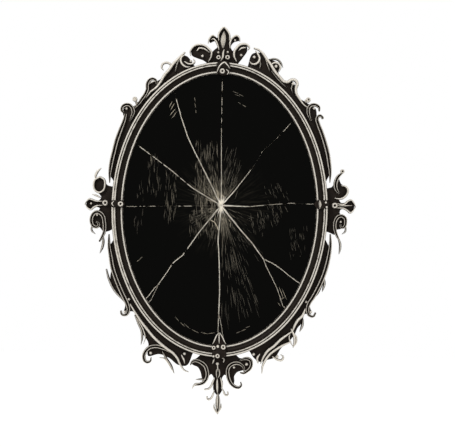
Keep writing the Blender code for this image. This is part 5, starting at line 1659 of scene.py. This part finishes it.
# Slight strands and beads that only the finished piece has: a seed on each shoulder and a fold
# in the left one's curl, second edges on two leaves of the left flank, the cup of the pendant's
# drop and an open leaf on the right flank, in millimetres right and down from the oval's centre
SLIGHT_FORMS = {
    "shoulder_left": (
        ((REED, 1.8, 0.9, SOFT, ((-146, -247), (-141, -250), (-136, -252.5), (-131.5, -253.5))),),
        ((-172.5, -217, 4.4),),
    ),
    "shoulder_right": ((), ((173, -221.5, 4.4),)),
    "flank_left": (
        (
            (
                REED, 1.4, 0.9, SOFT,
                ((-163, 217), (-154, 230), (-147, 244), (-143.5, 258), (-147, 270)),
            ),
            (
                REED, 1.5, 0.9, SOFT,
                ((-115, 297.5), (-105.5, 298.5), (-97, 307.5), (-90.5, 318.5), (-85, 326.5)),
            ),
        ),
        (),
    ),
    "pendant": (
        (
            (REED, 1.7, 0.9, (0.3, 0.9), ((-4, 387), (-4.5, 394), (-1.5, 401), (2.5, 406))),
            (REED, 1.7, 0.9, (0.3, 0.9), ((9.5, 387), (9.5, 394), (6, 401), (2.5, 406))),
        ),
        (),
    ),
    "flank_right": (
        (
            (REED, 1.4, 0.8, SOFT, ((146, 241), (143, 253), (147, 264), (151.5, 271))),
            (REED, 1.6, 0.9, SOFT, ((149, 242), (157.5, 252), (157.5, 262), (152, 271))),
        ),
        (),
    ),
}
for name, (place, edge, strands, beads) in CASTINGS.items():
    carving = Shell()
    add_ground(carving, place, edge)
    add_carving(carving, place, ground_back, CARVING_RISE, strands, beads)
    slight_strands, slight_beads = SLIGHT_FORMS.get(name, ((), ()))
    add_carving(carving, from_centre, ground_back, CARVING_RISE, slight_strands, slight_beads)
    piece = carving.piece(name + "_carving", [composition], 50)
    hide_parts(name)


# The clasps: four cast composition saddles that lie across the beads and the cove at 12, 3, 6
# and 9 o'clock, hiding the moulding's joints. Each saddle is left in its dark bole and carries
# a small carving with a gilt painted highlight on its ridges. They are glued and pinned over the
# finished moulding.

CLASP_GAP = 0.0005
CLASP_RISE = 0.0062
CARVING_INSET = 0.0009
SADDLE_ROWS = 60
SADDLE_SECTION = mirrored((
    (-1.0, 0.0, 0.0), (-0.97, 0.4, 0.0), (-0.91, 0.68, 0.1), (-0.82, 0.82, 0.25),
    (-0.68, 0.86, 0.0), (-0.4, 0.95, 0.0), (0.0, 1.0, 0.0),
))
# Its ends are rounded over this length and its outline smoothed over this one, in millimetres
SADDLE_ROUNDING = 2.4
SADDLE_SMOOTHING = 1.5

# A station is (outward from the inner foot of the outer beads, half width, thickness), and a
# strand's or bead's place is (across, outward). All are in millimetres.

TOP_SADDLE = (
    (10, 6, 2.2), (7, 12, 2.8), (0, 14, 3.2), (-7, 14.5, 3.2), (-13, 13.5, 3.2), (-17, 9, 2.8),
    (-19, 3, 2.0),
)
TOP_STRANDS = (
    (
        REED, 1.8, 0.9, SOFT,
        ((12.5, -13), (8.5, -3), (2, 4.5), (-2.5, 6.5), (-6.5, 3), (-13, -5)),
    ),
    (REED, 1.6, 0.8, SOFT, ((-6, -7), (-11, -12), (-8, -16.5))),
)
TOP_BEADS = ((1.5, -10.5, 4.4),)

LEFT_SADDLE = (
    (9.5, 4, 2.0), (7, 7, 2.6), (0, 7, 3.0), (-7, 7.5, 3.0), (-13, 7.5, 3.0), (-17, 5, 2.6),
    (-19, 2, 1.8),
)
LEFT_STRANDS = ((REED, 1.5, 0.8, SOFT, ((-5.5, 2.5), (0, 6), (5, 2.5))),)
LEFT_BEADS = ((0, -10.5, 4.6),)

RIGHT_SADDLE = (
    (9.5, 5, 2.0), (7, 8.5, 2.6), (0, 8.5, 3.0), (-7, 9, 3.0), (-13, 9, 3.0), (-17, 5, 2.6),
    (-19, 2, 1.8),
)
RIGHT_STRANDS = ((ROUND, 3.2, 0.9, (0.2, 0.2), ((-8.5, -8.5), (0, -7.5), (8.5, -8.5))),)
RIGHT_BEADS = ((3.5, 3.5, 2.2), (-5.5, 5, 2.2))

BOTTOM_SADDLE = (
    (10, 8, 2.2), (7, 14, 2.8), (0, 14.5, 3.2), (-7, 13.5, 3.2), (-13, 14.5, 3.2), (-19, 14.5, 3.2),
    (-27, 9.5, 3.0), (-35, 4.6, 2.8), (-42, 1.0, 2.0),
)
BOTTOM_STRANDS = (
    (REED, 1.7, 0.8, SOFT, ((-13, -18), (-9.5, -25), (-6, -33), (-1.5, -40))),
    (REED, 1.7, 0.8, SOFT, ((13, -18), (9.5, -25), (6, -33), (1.5, -40))),
    (REED, 1.8, 0.9, SOFT, ((0, -19), (0, -29), (0, -41))),
)
BOTTOM_BEADS = ((-3.5, 5, 3.8), (-11.5, 5.5, 2.3), (-11, -11, 3.4), (-3, -13.5, 3.0), (8, -12, 4.2))

CLASPS = {
    "clasp_top": (89.3, TOP_SADDLE, TOP_STRANDS, TOP_BEADS),
    "clasp_left": (178.4, LEFT_SADDLE, LEFT_STRANDS, LEFT_BEADS),
    "clasp_right": (2.8, RIGHT_SADDLE, RIGHT_STRANDS, RIGHT_BEADS),
    "clasp_bottom": (271.2, BOTTOM_SADDLE, BOTTOM_STRANDS, BOTTOM_BEADS),
}


def clasp_underside(outward):
    """Flat over the outer beads, then falling to rest on the sight bead."""
    fall = BEAD_RADIUS * 1.5 + COVE_RADIUS + FILLET_WIDTH + BEAD_RADIUS / 2
    high = MOULDING_DEPTH + CLASP_GAP
    if outward >= 0.0:
        return high
    return high - COVE_RADIUS * min(-outward / fall, 1.0)


outer_beads = MOULDING_WIDTH - BEAD_RADIUS - BEAD_PITCH - BEAD_RADIUS / 2
for name, (degrees, stations, strands, beads) in CLASPS.items():
    angle = math.radians(degrees)
    normal = oval_normal(angle)
    tangent = left_of(normal)
    foot = oval_point(angle, outer_beads)

    def place(across, outward):
        """Places (millimetres across the clasp, millimetres outward from the beads' foot)."""
        return foot + (tangent * across + normal * outward) * CARVING_UNIT

    def inside(point):
        """The carving starts just inside the saddle."""
        return clasp_underside((point - foot).dot(normal)) + CARVING_INSET

    columns = np.array(stations).T
    course = columns[0][0] - columns[0]
    saddle = Shell()
    rows = []
    for mark in np.linspace(0.0, course[-1], SADDLE_ROWS):
        near = min(mark, course[-1] - mark)
        fullness = math.sqrt(1 - max(0.0, 1 - near / SADDLE_ROUNDING) ** 2)
        outward = columns[0][0] - mark
        shifts = (-SADDLE_SMOOTHING, 0.0, SADDLE_SMOOTHING)
        half_width, thickness = (
            sum(np.interp(mark + shift, course, column) for shift in shifts) / 3
            for column in columns[1:]
        )
        half_width *= 0.35 + 0.65 * fullness
        thickness *= 0.45 + 0.55 * fullness
        ring = []
        gilding = []
        for side, up, gilt in SADDLE_SECTION:
            height = clasp_underside(outward * CARVING_UNIT) + up * thickness * CARVING_UNIT
            ring.append(at(place(side * half_width, outward), height))
            gilding.append(gilt)
        rows.append(saddle.add_points(ring, gilding))
    saddle.loft(rows)
    add_carving(saddle, place, inside, CLASP_RISE, strands, beads)
    made = saddle.piece(name + "_saddle", [composition], 50)
    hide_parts(name)


# The stage: a white floor as far below as one is under a mirror hung at eye height, two soft
# lamps and a white world, and a long-lens camera that looks straight at the mirror, rolled by
# the picture's own lean.

FLOOR_HEIGHT = -1.35
FLOOR_REACH = 12.0
PICTURE_WIDTH = 0.910
CAMERA_DISTANCE = 3.0
LEAN = math.radians(1.0)
# The middle of the picture, right of and below the oval's centre
PICTURE_RIGHT = 0.0158
PICTURE_DOWN = 0.0278
SENSOR = 36.0
WHITE = (1.0, 1.0, 1.0, 1.0)


def seen_ray(tree):
    """One for a ray that the camera, a reflection or the glass looks along, else nothing."""
    rays = put(tree, "LightPath")
    seen = rays.outputs["Is Camera Ray"]
    for kind in ("Is Glossy Ray", "Is Transmission Ray"):
        seen = put(tree, "Math", {"operation": "MAXIMUM"}, {0: seen, 1: rays.outputs[kind]})
    return seen


floor_mesh = bpy.data.meshes.new("studio_floor")
corners = [
    (x * FLOOR_REACH, y * FLOOR_REACH, FLOOR_HEIGHT)
    for x, y in ((-1, -1), (1, -1), (1, 1), (-1, 1))
]
floor_mesh.from_pydata(corners, [], [(0, 1, 2, 3)])
floor = bpy.data.objects.new("studio_floor", floor_mesh)
bpy.context.scene.collection.objects.link(floor)
floor_paper, tree, paper = new_material("Matt white studio paper")
paper.inputs["Base Color"].default_value = linear("#f4f4f2")
paper.inputs["Roughness"].default_value = 0.9
paper.inputs["Emission Color"].default_value = WHITE
# Seen paper is lifted just to white, so that it still shows a shadow
lifted = put(tree, "MapRange", {4: 0.52}, {0: seen_ray(tree)})
feed(tree, paper, {"Emission Strength": lifted})
floor_mesh.materials.append(floor_paper)

world = bpy.data.worlds.new("Studio")
bpy.context.scene.world = world
world.use_nodes = True
background = world.node_tree.nodes["Background"]
background.inputs["Color"].default_value = WHITE
strength = put(world.node_tree, "MapRange", {3: 0.55, 4: 1.0}, {0: seen_ray(world.node_tree)})
feed(world.node_tree, background, {"Strength": strength})


def soft_lamp(name, place, size, power):
    """A round area lamp that shines at the mirror's middle."""
    light = bpy.data.lights.new(name, "AREA")
    light.shape = "DISK"
    light.size = size
    light.energy = power
    lamp = bpy.data.objects.new(name, light)
    lamp.location = place
    lamp.rotation_euler = (-Vector(place)).to_track_quat("-Z", "Y").to_euler()
    bpy.context.scene.collection.objects.link(lamp)


soft_lamp("Key lamp", (-1.5, -2.2, 1.9), 1.2, 55.0)
soft_lamp("Fill lamp", (1.9, -2.0, 0.5), 1.6, 14.0)

right = Vector((math.cos(LEAN), 0.0, math.sin(LEAN)))
up = Vector((-math.sin(LEAN), 0.0, math.cos(LEAN)))
aim = right * PICTURE_RIGHT - up * PICTURE_DOWN
camera_data = bpy.data.cameras.new("Camera")
camera_data.sensor_width = SENSOR
camera_data.lens = SENSOR * CAMERA_DISTANCE / PICTURE_WIDTH
camera = bpy.data.objects.new("Camera", camera_data)
camera.location = aim + Vector((0.0, -CAMERA_DISTANCE, 0.0))
camera.rotation_euler = (math.pi / 2, -LEAN, 0.0)
bpy.context.scene.collection.objects.link(camera)
bpy.context.scene.camera = camera
bpy.context.scene.view_settings.view_transform = "Standard"
